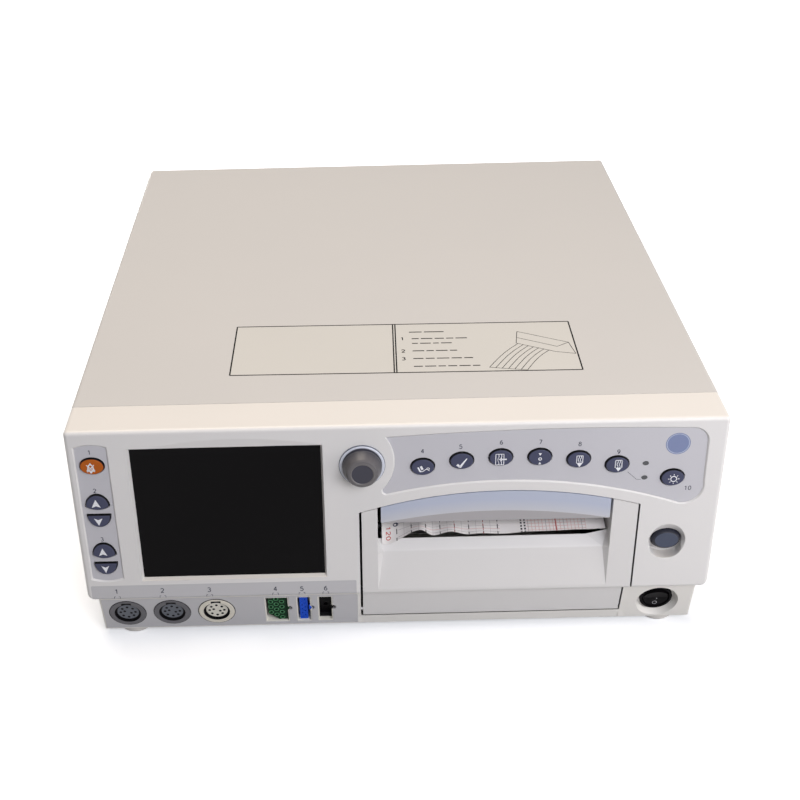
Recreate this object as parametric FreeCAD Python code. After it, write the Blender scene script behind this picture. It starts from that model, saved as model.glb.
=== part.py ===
import FreeCAD, Part
import math
import os

# Fetal monitor: a desk-top console with a leaning fascia, a strip-chart recorder behind a hinged door,
# a display, push keys, a trim knob and transducer sockets. Millimetres, +Z up, +X to the operator's right.
# The origin is on the table, under the middle of the whole part, and the fascia looks along -Y.

V = FreeCAD.Vector

# Driving dimensions of the casing
width = 422.0
depth = 445.0               # fascia lip to the back edge of the cover
height = 171.0
foot_height = 5.0
knob_overhang = 5.14        # the knob stands this far in front of the fascia's lip
wall = 3.0                  # moulded walls
sheet = 1.5                 # sheet metal
run_gap = 0.05              # radial clearance of a running fit
half_width = width / 2
lip_y = -(depth - knob_overhang) / 2
back_y = lip_y + depth

# Fascia: leans back from its lip, and its top band ends at a seam with the cover
lip_z = 40.1
lip_bottom = 38.7
top_setback = 9.3
band_depth = 39.0
fascia_round = 3.0
corner_round = 5.0
lean = math.degrees(math.atan2(top_setback, height - lip_z))

# Lower front panel: set back under the lip and undercut towards the table
panel_setback = 4.0
panel_top = 36.0
undercut = 9.16
panel_half_width = 205.0
panel_reach = 48.0          # its bottom flange runs back this far from the lip

# Display
screen_u, screen_v = -109.95, 66.3
screen_w, screen_h = 124.9, 103.6
screen_taper = 1.3          # bevel of the opening, per side, through the wall
scoop_u, scoop_v, scoop_radius = -104.0, 124.0, 274.0

# Left key strip
strip_u = -195.2
strip_w = 20.4
strip_low, strip_high, strip_bow = 17.4, 119.2, 2.0
inset_depth = 1.5           # pockets for the strip and the function panel
inlay = 0.6
film_w = inlay - inset_depth                   # the films' printed face; the pockets' rims slope down to it
alarm_v = 106.0
alarm_w, alarm_h = 15.2, 11.5
volume_w = 15.0
volume_bow = 2.8            # rise of the shallow bow under each raise key
volume_up = [(84.2, 72.9), (45.9, 34.4)]       # top and bottom of each raise key
volume_down = [(68.7, 59.5), (30.3, 21.2)]     # top and bottom of each lower key

# Function panel and its keys, which follow an arch
key_w, key_h = 14.9, 11.8
key_first, key_step, key_count = 16.4, 25.0, 6
key_arch_u, key_arch_v, key_arch_radius = 75.0, 105.6, 300.0
light_key = (178.1, 87.3)
lamp_spots = [(159.9, 98.2), (160.0, 87.4)]
key_gap = 0.7
key_proud = film_w + 1.6
key_round = 0.9
key_travel = 1.2
board_w = -12.0             # face of the switch boards, from the fascia's face

# Knob
knob_u, knob_v = -22.5, 102.3
collar_radius = 14.9
knob_radius, knob_nose_radius = 12.6, 9.3
knob_base, knob_nose = 2.7, 11.9
knob_shaft_radius = 3.0

# Recorder door and its arch
arch_u, arch_v, arch_radius = 70.0, 80.7, 310.0
door_left, door_right = -23.5, 158.1
apron_right = 153.8
door_gap_left, door_gap_right, door_gap = 1.6, 1.0, 0.7
bay_left, bay_right = -13.0, 141.4             # inner faces of the door's pillars
pillar_wall = 2.5
pillar_depth = 14.0
fold_v, fold_w = 31.6, -4.4                    # front edge of the sloped paper ledge
fold_round = 2.0
ledge_v, ledge_w = 37.7, -10.3                 # its crest
facet_left = 3.6, 4.0, 0.3                     # ledge corners: width at the fold, width at the crest, rise
facet_right = 3.6, 14.2, 3.5
apron_bottom, rail_top = 14.0, 13.2            # the seam under the apron
rail_low = 11.8             # the rail falls back to this height, to clear the swinging apron
hinge_y, hinge_z = lip_y + 10.9, 17.2
hinge_radius, pin_radius = 3.8, 1.5
swing_radius = 23.4         # the right pillar's foot clears the lower panel by this radius about the hinge

# Recorder
bar_left, bar_right, bar_bottom = -10.7, 139.8, 57.4
bar_depth, bar_sag, bar_corner = 13.0, 1.2, 1.2
bevel_rise, bevel_radius = 8.9, 365.0
bevel_slope = 4.5           # millimetres of height for each of depth
platen_y, platen_z, platen_radius = lip_y + 25.0, 79.0, 6.0
platen_left, platen_right = -10.0, 138.6
shaft_radius = 2.5
gear_module, gear_teeth, pinion_teeth = 0.9, 24, 12
gear_left, gear_width = 145.6, 5.0
paper_left, paper_right, paper_z = -9.4, 138.8, 87.9
paper_front, paper_thick = lip_y + 6.0, 0.25
frame_front, frame_back = lip_y + 40.0, lip_y + 158.0
frame_left, frame_right = -27.0, 153.8
frame_floor, frame_top = 10.6, 112.0

# Latch
latch_u, latch_v = 179.35, 37.14
recess_w, recess_h, recess_depth = 24.7, 27.9, 9.5
recess_slope = 3.2          # the recess's walls slope in to this depth, down to the button's slot
latch_w, latch_h = 20.3, 16.4
latch_gap = 0.4
latch_travel = 5.0
latch_crown = [(-4.6, 0.0, 0.0), (-2.8, 1.1, 0.3), (-1.2, 2.8, 0.6), (-0.3, 5.0, 0.9)]   # level, taper, rise

# Sockets and power switch, on the lower panel
socket_v = -14.6
round_sockets = [-186.7, -155.9, -125.0]
ring_radius, ring_inner, insert_radius = 12.5, 9.1, 7.6
slot_sockets = {"green": (-83.2, 16.8), "blue": (-64.5, 10.4), "black": (-49.7, 10.4)}
slot_v, slot_h = -14.9, 26.4
liner_wall = 0.8
block_foot = -12.95
block_face = {"green": -1.5, "blue": -1.5, "black": -6.8}
block_outline = {
    "green": [(-89.4, -3.1), (-76.5, -3.1), (-76.5, -26.9), (-82.2, -26.9), (-89.4, -20.2)],
    "blue": [(-67.5, -3.1), (-62.0, -3.1), (-62.0, -27.0), (-67.5, -27.0)],
    "black": [(-53.9, -3.1), (-45.5, -3.1), (-45.5, -27.0), (-53.9, -27.0)],
}
contact_columns = {                            # u, top row and number of rows of each column of contacts
    "green": [(-87.5, -8.0, 3), (-83.7, -5.1, 4), (-79.9, -8.0, 4)],
    "blue": [(-65.8, -8.1, 5), (-63.8, -6.1, 5)],
    "black": [(-49.7, -9.0, 2)],
}
contact_pitch = {"green": 5.6, "blue": 4.2, "black": 9.0}
contact_radius = {"green": 0.9, "blue": 0.6, "black": 1.6}
switch_u, switch_v = 180.3, -15.5
dish_radius, dish_floor, dish_depth = 14.5, 12.4, 5.0
bezel_radius, rocker_radius = 11.3, 8.6
rocker_tilt = 8.0

# Inside
base_bottom = 7.1           # the base plate lies on the lower panel's bottom flange
base_top = base_bottom + sheet
stand_off = 6.0
board_box = (-60.0, 190.0, -40.0, 195.0)
supply_box = (-195.0, -85.0, 40.0, 195.0)

# Rear, screws and feet
rear_y = back_y - 8.0       # outer face of the rear panel
rear_screw_spots = [(-190.0, 18.0), (0.0, 18.0), (190.0, 18.0)]
side_screw_z = 20.0
side_screw_ys = [lip_y + 90.0, lip_y + 240.0, lip_y + 400.0]
foot_radius = 13.0
foot_spots = [(-184.5, lip_y + 22.9), (184.5, lip_y + 22.9), (-184.5, back_y - 34.0), (184.5, back_y - 34.0)]

FASCIA = FreeCAD.Placement(V(0, lip_y, lip_z), FreeCAD.Rotation(V(1, 0, 0), 90 - lean))
PANEL = FreeCAD.Placement(V(0, lip_y + panel_setback, panel_top), FreeCAD.Rotation(V(1, 0, 0), 90 + undercut))

nodes = {}


def box(x0, x1, y0, y1, z0, z1):
    """A box between two corners."""
    return Part.makeBox(x1 - x0, y1 - y0, z1 - z0, V(x0, y0, z0))


def rod(radius, start, end):
    """A round bar from one point to another."""
    span = end - start
    return Part.makeCylinder(radius, span.Length, start, span)


def on_fascia(shape):
    """Carry a shape drawn flat (u across, v up the slope, w outwards) onto the fascia."""
    moved = shape.copy()
    moved.Placement = FASCIA.multiply(moved.Placement)
    return moved


def on_panel(shape):
    """Carry a shape drawn flat onto the undercut lower panel."""
    moved = shape.copy()
    moved.Placement = PANEL.multiply(moved.Placement)
    return moved


def fuse(shapes):
    """Join shapes into one solid."""
    return shapes[0].multiFuse(shapes[1:]).removeSplitter()


def group(shapes):
    """Keep shapes apart, in one node."""
    return Part.makeCompound(shapes)


def prism(edges, w0, w1):
    """Extrude a closed flat outline of edges between two levels of w."""
    face = Part.Face(Part.Wire(Part.__sortEdges__([e.toShape() for e in edges])))
    face.translate(V(0, 0, w0))
    return face.extrude(V(0, 0, w1 - w0))


def side_prism(points, x0, x1):
    """Extrude a closed outline of (y, z) points along x."""
    ring = [V(x0, y, z) for y, z in points]
    face = Part.Face(Part.makePolygon(ring + ring[:1]))
    return face.extrude(V(x1 - x0, 0, 0))


def ellipse(u, v, w_size, h_size, w):
    """An ellipse at a level of w, given its full width and height."""
    across, up, middle = V(u + w_size / 2, v, w), V(u, v + h_size / 2, w), V(u, v, w)
    if w_size >= h_size:
        return Part.Ellipse(across, up, middle)
    return Part.Ellipse(up, across, middle)


def oval(u, v, w_size, h_size, w0, w1):
    """A bar of elliptical section, standing along w."""
    return prism([ellipse(u, v, w_size, h_size, 0)], w0, w1)


def plate(u, v, w_size, h_size, radius, w0, w1):
    """A rounded rectangular plate, centred on (u, v)."""
    solid = Part.makeBox(w_size, h_size, w1 - w0, V(u - w_size / 2, v - h_size / 2, w0))
    upright = [e for e in solid.Edges if abs(e.Vertexes[0].Point.z - e.Vertexes[1].Point.z) > 1e-6]
    return solid.makeFillet(radius, upright)


def arc_v(u, apex_u, apex_v, radius):
    """Height of a wide arch at u."""
    return apex_v - radius + math.sqrt(radius ** 2 - (u - apex_u) ** 2)


def soften(shape, radius, chosen):
    """Round the edges that a test picks."""
    return shape.makeFillet(radius, [e for e in shape.Edges if chosen(e)])


def edge_at(w):
    """A test for edges lying wholly at a level of w."""
    return lambda e: abs(e.BoundBox.ZMin - w) < 1e-4 and abs(e.BoundBox.ZMax - w) < 1e-4


def volume_outline(top, bottom, raise_key, grow):
    """Outline of a volume key: a tall dome over a shallow bow, or a flat top over a tall dome."""
    half = volume_w / 2 + grow
    top += grow
    bottom -= grow
    if raise_key:
        spring = bottom + volume_bow
        ends = V(strip_u - half, spring, 0), V(strip_u + half, spring, 0)
        dome = Part.Ellipse(V(strip_u, top, 0), ends[1], V(strip_u, spring, 0))
        base = Part.Arc(ends[0], V(strip_u, bottom, 0), ends[1])
    else:
        ends = V(strip_u - half, top, 0), V(strip_u + half, top, 0)
        dome = Part.Ellipse(V(strip_u, bottom, 0), ends[0], V(strip_u, top, 0))
        base = Part.LineSegment(*ends)
    return [Part.ArcOfEllipse(dome, -math.pi / 2, math.pi / 2), base]


def strip_outline(grow):
    """Outline of the left key strip, bowed at both ends."""
    left, right = strip_u - strip_w / 2 - grow, strip_u + strip_w / 2 + grow
    low, high = strip_low - grow, strip_high + grow
    return [
        Part.LineSegment(V(left, low, 0), V(left, high, 0)),
        Part.Arc(V(left, high, 0), V(strip_u, high + strip_bow, 0), V(right, high, 0)),
        Part.LineSegment(V(right, high, 0), V(right, low, 0)),
        Part.Arc(V(right, low, 0), V(strip_u, low - strip_bow, 0), V(left, low, 0)),
    ]


def function_outline(grow):
    """Outline of the function panel: hollowed round the knob, arched below, rounded at its right end."""
    top_left = V(-7.0 - grow, 121.9 + grow, 0)
    top_right = V(187.0, 123.9 + grow, 0)
    right_high = V(198.0 + grow, 113.0, 0)
    right_low = V(198.4 + grow, 84.0, 0)
    low_right = V(184.5, 67.6 - grow, 0)
    low_left = V(-6.4, 79.6 - grow, 0)
    left_corner = V(-8.8 - grow * 0.7, 80.6 - grow * 0.7, 0)
    left_low = V(-9.3 - grow, 83.2, 0)
    knob_side = V(knob_u + 21.0 - grow, knob_v, 0)
    top_mid = V(90.0, 125.3 + grow, 0)
    return [
        Part.Arc(top_left, top_mid, top_right),
        Part.Arc(top_right, V(195.2 + grow * 0.7, 120.6 + grow * 0.7, 0), right_high),
        Part.LineSegment(right_high, right_low),
        Part.Arc(right_low, V(195.4 + grow * 0.7, 71.6 - grow * 0.7, 0), low_right),
        Part.Arc(low_right, V(73.0, 88.2 - grow, 0), low_left),
        Part.Arc(low_left, left_corner, left_low),
        Part.Arc(left_low, knob_side, top_left),
    ]


def door_outline(left, right, drop):
    """Outline of the recorder's opening: straight sides under a wide arch."""
    low = -8.0
    return [
        Part.LineSegment(V(left, low, 0), V(right, low, 0)),
        Part.LineSegment(V(right, low, 0), V(right, arc_v(right, arch_u, arch_v - drop, arch_radius), 0)),
        Part.Arc(V(right, arc_v(right, arch_u, arch_v - drop, arch_radius), 0), V(arch_u, arch_v - drop, 0),
                 V(left, arc_v(left, arch_u, arch_v - drop, arch_radius), 0)),
        Part.LineSegment(V(left, arc_v(left, arch_u, arch_v - drop, arch_radius), 0), V(left, low, 0)),
    ]


def flat_wire(edges, w):
    """A closed outline of edges, as a wire at a level of w."""
    wire = Part.Wire(Part.__sortEdges__([e.toShape() for e in edges]))
    wire.translate(V(0, 0, w))
    return wire


def pocket(outline):
    """A cutter for a shallow pocket whose rim slopes outwards at 45 degrees up to the fascia's face."""
    rim = Part.makeLoft([flat_wire(outline(0), film_w), flat_wire(outline(-film_w + 0.3), 0.3)], True, True)
    return rim.fuse(prism(outline(0), -inset_depth, film_w + 0.05))


def key_places():
    """Centres of the function keys: six along the arch, and the light key at the right."""
    row = [key_first + key_step * i for i in range(key_count)]
    return [(u, arc_v(u, key_arch_u, key_arch_v, key_arch_radius)) for u in row] + [light_key]


def fascia_y(z):
    """Depth of the fascia's face at a height."""
    return lip_y + (z - lip_z) * math.tan(math.radians(lean))


def panel_y(z):
    """Depth of the lower panel's face at a height."""
    return lip_y + panel_setback + (panel_top - z) * math.tan(math.radians(undercut))


def make_fascia():
    """Front moulding: leaning face, top band, sides and lip, with every opening in it."""
    back = lip_y + band_depth
    outer = side_prism([(fascia_y(lip_bottom), lip_bottom), (fascia_y(height), height), (back, height),
                        (back, lip_bottom)], -half_width, half_width)
    lengthwise = [e for e in outer.Edges if abs(e.Vertexes[0].Point.x) > 1 and e.BoundBox.YLength > 20
                  and e.BoundBox.ZLength < 1e-6 and e.BoundBox.XLength < 1e-6]
    low = [e for e in lengthwise if e.BoundBox.ZMax < height / 2]
    outer = outer.makeFillet(corner_round, low)
    high = [e for e in outer.Edges if e.BoundBox.YLength > 20 and e.BoundBox.ZMin > height - 1e-3
            and e.BoundBox.XLength < 1e-6]
    outer = outer.makeFillet(fascia_round, high)
    front = [e for e in outer.Edges if all(abs(p.y - fascia_y(p.z)) < 0.02 for p in e.discretize(5))]
    outer = outer.makeFillet(fascia_round - 0.2, front)
    slant = wall / math.cos(math.radians(lean))
    floor = lip_bottom + wall
    hollow = side_prism([(fascia_y(floor) + slant, floor), (fascia_y(height - wall) + slant, height - wall),
                         (back + 1, height - wall), (back + 1, floor)], -half_width + wall, half_width - wall)
    shell = outer.cut(hollow)
    cup = oval(latch_u, latch_v, recess_w + 4, recess_h + 4, -recess_depth - 2.5, -wall + 0.5)
    bosses = [(strip_u, 93.2), (strip_u, 52.6), (strip_u, 116.6), (4.0, 116.0), (100.0, 117.0),
              (192.0, 112.0), (192.0, 76.0), (152.0, 116.0)]
    posts = [Part.makeCylinder(2.2, -wall - board_w + 0.4, V(u, v, board_w)) for u, v in bosses]
    spring_shelf = box(latch_u - 6, latch_u + 6, 5.0, 8.0, -26.0, -wall + 0.5)
    shell = fuse([shell] + [on_fascia(s) for s in [cup, spring_shelf] + posts])
    cuts = []
    grow = screen_taper / wall
    wires = []
    for w in (0.6, -wall - 0.6):
        half_w, half_h = screen_w / 2 + grow * w, screen_h / 2 + grow * w
        ring = [V(screen_u + a * half_w, screen_v + b * half_h, w)
                for a, b in ((-1, -1), (1, -1), (1, 1), (-1, 1))]
        wires.append(Part.makePolygon(ring + ring[:1]))
    cuts.append(Part.makeLoft(wires, True, True))
    rise = scoop_radius / 0.2
    ball = Part.makeSphere(math.hypot(scoop_radius, rise), V(scoop_u, scoop_v - scoop_radius, rise))
    scoop_low = screen_v + screen_h / 2 - 0.4
    cuts.append(ball.common(box(scoop_u - 54, scoop_u + 54, scoop_low, scoop_v + 1, -2, 2)))
    cuts.append(pocket(strip_outline))
    cuts.append(pocket(function_outline))
    cuts.append(oval(strip_u, alarm_v, alarm_w + 2 * key_gap, alarm_h + 2 * key_gap, -wall - 1, 1))
    for pair, up in ((volume_up, True), (volume_down, False)):
        for top, bottom in pair:
            cuts.append(prism(volume_outline(top, bottom, up, key_gap), -wall - 1, 1))
    for u, v in key_places():
        cuts.append(oval(u, v, key_w + 2 * key_gap, key_h + 2 * key_gap, -wall - 1, 1))
    for u, v in lamp_spots:
        cuts.append(oval(u, v, 4.2, 3.2, -wall - 1, 1))
    cuts.append(Part.makeCylinder(5.1, wall + 3, V(knob_u, knob_v, -wall - 1)))
    cuts.append(prism(door_outline(door_left - door_gap_left, door_right + door_gap_right, 0), -45, 10))
    cuts += latch_recess()
    stem_slot = 9.0 + latch_travel + 1.4
    cuts.append(plate(latch_u, latch_v - latch_travel / 2, 7.0, stem_slot, 1.0, -recess_depth - 4, 0))
    nodes["front_fascia"] = shell.cut(gather([on_fascia(c) for c in cuts])).removeSplitter()


def latch_recess():
    """Cuts for the latch: a sloping oval dish, and the slot that its button slides down."""
    slot_w, slot_high = latch_w + 2 * latch_gap, latch_h + 2 * latch_gap
    slope = (recess_w - slot_w) / recess_slope, (recess_h - slot_high) / recess_slope
    rims = [ellipse(latch_u, latch_v, recess_w + slope[0] * w, recess_h + slope[1] * w, w)
            for w in (-recess_slope, 0.6)]
    wires = [Part.Wire(rim.toShape()) for rim in rims]
    ends = [oval(latch_u, latch_v - shift, slot_w, slot_high, -recess_depth, 0)
            for shift in (0, latch_travel)]
    sides = box(latch_u - slot_w / 2, latch_u + slot_w / 2, latch_v - latch_travel, latch_v, -recess_depth, 0)
    rim = oval(latch_u, latch_v, recess_w, recess_h, -recess_depth, 0)
    return [Part.makeLoft(wires, True, True), fuse(ends + [sides]).common(rim)]


def gather(shapes):
    """Gather cutting shapes into one compound."""
    return Part.makeCompound(shapes)


def make_lower_panel():
    """Recessed panel under the lip: socket holes, switch dish, door gap and hinge ears."""
    top = lip_bottom - 0.1
    back = lip_y + panel_reach
    outer = side_prism([(panel_y(top), top), (panel_y(foot_height), foot_height),
                        (back, foot_height), (back, top)], -panel_half_width, panel_half_width)
    upright = [e for e in outer.Edges if abs(e.Vertexes[0].Point.x - e.Vertexes[1].Point.x) < 1e-6
               and e.BoundBox.ZLength > 20 and e.BoundBox.YMax < lip_y + 20]
    outer = outer.makeFillet(2.0, upright)
    slant = wall / math.cos(math.radians(undercut))
    hollow = side_prism([(panel_y(top + 1) + slant, top + 1), (panel_y(base_bottom) + slant, base_bottom),
                         (back + 1, base_bottom), (back + 1, top + 1)],
                        -panel_half_width + wall, panel_half_width - wall)
    shell = outer.cut(hollow)
    cup = Part.makeCylinder(dish_radius + 1.2, dish_depth + 0.5, V(switch_u, switch_v, -dish_depth - 2))
    cup_room = box(140, 203, lip_y - 5, lip_y + 30, base_bottom - 1, top)
    ears = [box(x0, x1, panel_y(hinge_z) + 1.0, hinge_y + 6.5, base_bottom - 0.5, hinge_z + 6.0)
            for x0, x1 in ((door_left - 4.4, door_left - door_gap_left),
                           (apron_right + door_gap_right, apron_right + 4.4))]
    shell = fuse([shell, on_panel(cup).common(cup_room)] + ears)
    holes = [Part.makeCylinder(ring_radius, wall + 2, V(u, socket_v, -wall - 1)) for u in round_sockets]
    for u, size in slot_sockets.values():
        holes.append(box(u - size / 2, u + size / 2, slot_v - slot_h / 2, slot_v + slot_h / 2, -wall - 4, 1))
        holes.append(Part.makeCylinder(2.2, wall + 2, V(u + size / 2, slot_v + 1.5, -wall - 1)))
    dish_foot = V(switch_u, switch_v, -dish_depth)
    holes.append(Part.makeCone(dish_floor, dish_radius + 0.42, dish_depth + 1, dish_foot))
    holes.append(Part.makeCylinder(10.3, 12, V(switch_u, switch_v, -dish_depth - 8)))
    cuts = [on_panel(hole) for hole in holes]
    door_room = [(lip_y - 5, rail_top), (lip_y - 5, top + 1), (hinge_y + 9, top + 1), (hinge_y + 9, rail_low),
                 (hinge_y - 0.4, rail_low), (panel_y(rail_top), rail_top)]
    cuts.append(side_prism(door_room, door_left - door_gap_left, apron_right + door_gap_right))
    cuts += [rod(2.0, V(x, y, 0), V(x, y, base_bottom + 1)) for x, y in foot_spots if y < 0]
    cuts.append(rod(pin_radius, V(door_left - 5, hinge_y, hinge_z), V(apron_right + 5, hinge_y, hinge_z)))
    nodes["lower_front_panel"] = shell.cut(gather(cuts)).removeSplitter()


def make_cover():
    """Painted wrap cover: top and two sides, bent from one sheet, with sunk screw holes low on the sides."""
    start, thick, bend = lip_y + band_depth + 0.3, 2.0, 3.0
    outer = box(-half_width, half_width, start, back_y, base_bottom, height)
    outer = soften(outer, bend, lambda e: e.BoundBox.YLength > 100 and e.BoundBox.ZMin > height - 1)
    inner = box(-half_width + thick, half_width - thick, start - 1, back_y + 1, 0, height - thick)
    inner = soften(inner, bend - thick, lambda e: e.BoundBox.YLength > 100
                   and e.BoundBox.ZMin > height - thick - 1)
    holes = []
    for y in side_screw_ys:
        holes.append(rod(1.4, V(-half_width - 1, y, side_screw_z), V(half_width + 1, y, side_screw_z)))
        for side in (-1, 1):
            mouth = V(side * half_width, y, side_screw_z)
            holes.append(Part.makeCone(3.05, 1.3, 1.75, mouth, V(-side, 0, 0)))
    nodes["top_cover"] = outer.cut(inner).cut(gather(holes))


def make_base():
    """Base tray: plate, side and rear flanges, and pressed stand-offs for the boards."""
    half = half_width - 2.3
    front = lip_y + 17.0
    cover_start = lip_y + panel_reach + 1.0
    floor = box(-half, half, cover_start, rear_y - 0.2, base_bottom, base_top)
    tongue_half = panel_half_width - wall - 0.5
    tongue = box(-tongue_half, tongue_half, front, cover_start, base_bottom, base_top)
    shapes = [floor, tongue]
    for side in (-1, 1):
        edge = sorted((side * half, side * (half - sheet)))
        shapes.append(box(edge[0], edge[1], cover_start, rear_y - sheet - 0.2, base_bottom, 34.0))
    shapes.append(box(-half, half, rear_y - 0.2 - 2 * sheet, rear_y - sheet - 0.2, base_bottom, 32.0))
    for x0, x1, y0, y1 in (board_box, supply_box):
        for x in (x0 + 6, x1 - 6):
            for y in (y0 + 6, y1 - 6):
                shapes.append(Part.makeCylinder(3.0, stand_off + 0.2, V(x, y, base_top - 0.2)))
    tray = fuse(shapes)
    holes = [rod(1.3, V(-half - 1, y, side_screw_z), V(half + 1, y, side_screw_z)) for y in side_screw_ys]
    holes += [rod(1.3, V(x, rear_y - 6, z), V(x, rear_y + 1, z)) for x, z in rear_screw_spots]
    holes += [rod(2.0, V(x, y, 0), V(x, y, 12)) for x, y in foot_spots]
    hinge_room = box(door_left - 5, apron_right + 5, front - 1, hinge_y + 7.0, base_bottom - 1, base_top + 1)
    nodes["base_chassis"] = tray.cut(gather(holes + [hinge_room]))


def make_feet_and_screws():
    """Four rubber feet and the case screws: feet, cover sides and rear panel."""
    feet = []
    for x, y in foot_spots:
        bottom = foot_height if y < 0 else base_bottom
        foot = Part.makeCone(foot_radius - 0.9, foot_radius, 1.2, V(x, y, 0))
        foot = foot.fuse(Part.makeCylinder(foot_radius, bottom - 1.2, V(x, y, 1.2)))
        foot = foot.removeSplitter().cut(Part.makeCylinder(4.5, 2.6, V(x, y, 0)))
        feet.append(foot.cut(Part.makeCylinder(2.0, 10, V(x, y, 0))))
    nodes["rubber_feet"] = group(feet)
    nodes["foot_screws"] = group([screw(V(x, y, 2.6), V(0, 0, 1), 8.0, 4.2, 1.9, False)
                                  for x, y in foot_spots])
    screws = [screw(V(side * half_width, y, side_screw_z), V(-side, 0, 0), 6.0, 3.0, 1.25, True)
              for y in side_screw_ys for side in (-1, 1)]
    screws += [screw(V(x, rear_y, z), V(0, -1, 0), 6.0, 3.0, 1.25, False) for x, z in rear_screw_spots]
    nodes["case_screws"] = group(screws)


def screw(seat, way, length, head_radius, shank_radius, sunk):
    """A cross-head screw with its head at a seat and its shank along a direction; the head is pan or sunk."""
    head_top = 0.0 if sunk else -1.6
    if sunk:
        head = Part.makeCone(head_radius, shank_radius, head_radius - shank_radius)
    else:
        head = Part.makeCylinder(head_radius, -head_top, V(0, 0, head_top))
    body = head.fuse(Part.makeCylinder(shank_radius, length)).removeSplitter()
    reach, half_slot, slot_floor = head_radius * 0.62, 0.35, head_top + 0.9
    cross = [box(-reach, reach, -half_slot, half_slot, head_top, slot_floor),
             box(-half_slot, half_slot, -reach, reach, head_top, slot_floor)]
    body = body.cut(gather(cross))
    body.Placement = FreeCAD.Placement(seat, FreeCAD.Rotation(V(0, 0, 1), way))
    return body


def make_rear():
    """Rear panel with mains inlet, earth stud and data ports."""
    inlet_x, inlet_z = -150.0, 52.0
    port_xs = [20.0, 70.0, 120.0]
    port_z = 48.0
    half = half_width - 2.6
    panel = box(-half, half, rear_y - sheet, rear_y, base_top + 0.2, height - 2.6)
    cuts = [rod(1.5, V(x, rear_y - 5, z), V(x, rear_y + 1, z)) for x, z in rear_screw_spots]
    cuts.append(box(inlet_x - 14.1, inlet_x + 14.1, rear_y - 5, rear_y + 1, inlet_z - 10.6, inlet_z + 10.6))
    cuts += [box(x - 10.1, x + 10.1, rear_y - 5, rear_y + 1, port_z - 5.6, port_z + 5.6) for x in port_xs]
    earth = V(-105.0, rear_y, inlet_z)
    cuts.append(rod(3.1, earth - V(0, 5, 0), earth + V(0, 1, 0)))
    slots = [box(x - 1.5, x + 1.5, rear_y - 5, rear_y + 1, 100, 140) for x in range(-60, 61, 10)]
    nodes["rear_panel"] = panel.cut(gather(cuts + slots))
    flange = box(inlet_x - 25, inlet_x + 25, rear_y + 0.1, rear_y + 3.0, inlet_z - 12.5, inlet_z + 12.5)
    body = box(inlet_x - 14, inlet_x + 14, rear_y - 26, rear_y + 3.0, inlet_z - 10.5, inlet_z + 10.5)
    well = box(inlet_x - 12, inlet_x + 12, rear_y - 15, rear_y + 4, inlet_z - 8, inlet_z + 8)
    inlet = flange.fuse(body).removeSplitter().cut(well)
    blade_spots = [(inlet_x - 7, inlet_z - 1.5), (inlet_x, inlet_z + 2.5), (inlet_x + 7, inlet_z - 1.5)]
    blades = [box(x - 1, x + 1, rear_y - 15.5, rear_y - 4, z - 2, z + 2) for x, z in blade_spots]
    nodes["mains_inlet"] = fuse([inlet] + blades)
    stud = rod(3.0, earth - V(0, 9, 0), earth + V(0, 5.5, 0))
    nut = hexagon(earth + V(0, 0.1, 0), 5.5, 2.6)
    nodes["earth_stud"] = stud.fuse(nut).removeSplitter()
    ports = []
    for x in port_xs:
        shell = box(x - 10, x + 10, rear_y - 11, rear_y + 3.2, port_z - 5.5, port_z + 5.5)
        shell = soften(shell, 2.0, lambda e: e.BoundBox.YLength > 10)
        rim = box(x - 15.5, x + 15.5, rear_y + 0.1, rear_y + 1.1, port_z - 6.3, port_z + 6.3)
        jack = rim.fuse(shell).removeSplitter()
        spots = [(x + (i - (row - 1) / 2) * 2.76, port_z + dz)
                 for dz, row in ((1.4, 5), (-1.4, 4)) for i in range(row)]
        pins = [rod(0.55, V(a, rear_y, b), V(a, rear_y + 5, b)) for a, b in spots]
        ports.append(jack.cut(gather(pins)))
    nodes["rear_ports"] = group(ports)


def hexagon(centre, radius, thick):
    """A hexagonal nut facing +Y."""
    ring = [centre + V(radius * math.cos(math.radians(60 * i)), 0, radius * math.sin(math.radians(60 * i)))
            for i in range(6)]
    return Part.Face(Part.makePolygon(ring + ring[:1])).extrude(V(0, thick, 0))


def make_display():
    """Tinted window behind the opening, and the flat display module behind it."""
    window = plate(screen_u, screen_v, screen_w + 6, screen_h + 5, 3.0, -wall - 2.1, -wall - 0.02)
    nodes["display_window"] = on_fascia(window)
    module = box(screen_u - 66, screen_u + 66, screen_v - 54, screen_v + 54, -17.0, -wall - 2.3)
    ribs = box(screen_u - 56, screen_u + 56, screen_v - 44, screen_v + 44, -21.0, -16.8)
    nodes["display_module"] = on_fascia(module.fuse(ribs).removeSplitter())


def make_inlays():
    """Film panels in the fascia's shallow pockets, pierced for the keys."""
    w0, w1 = -inset_depth + 0.02, film_w
    strip_cuts = [oval(strip_u, alarm_v, alarm_w + 2 * key_gap, alarm_h + 2 * key_gap, -3, 2)]
    for pair, up in ((volume_up, True), (volume_down, False)):
        strip_cuts += [prism(volume_outline(t, b, up, key_gap), -3, 2) for t, b in pair]
    nodes["key_strip"] = on_fascia(prism(strip_outline(-0.1), w0, w1).cut(gather(strip_cuts)))
    panel_cuts = [oval(u, v, key_w + 2 * key_gap, key_h + 2 * key_gap, -3, 2) for u, v in key_places()]
    panel_cuts += [oval(u, v, 4.2, 3.2, -3, 2) for u, v in lamp_spots]
    nodes["function_panel"] = on_fascia(prism(function_outline(-0.1), w0, w1).cut(gather(panel_cuts)))
    lenses = [oval(u, v, 4.0, 3.0, -6.0, film_w + 0.2) for u, v in lamp_spots]
    nodes["lamp_lenses"] = group([on_fascia(s) for s in lenses])


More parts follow.
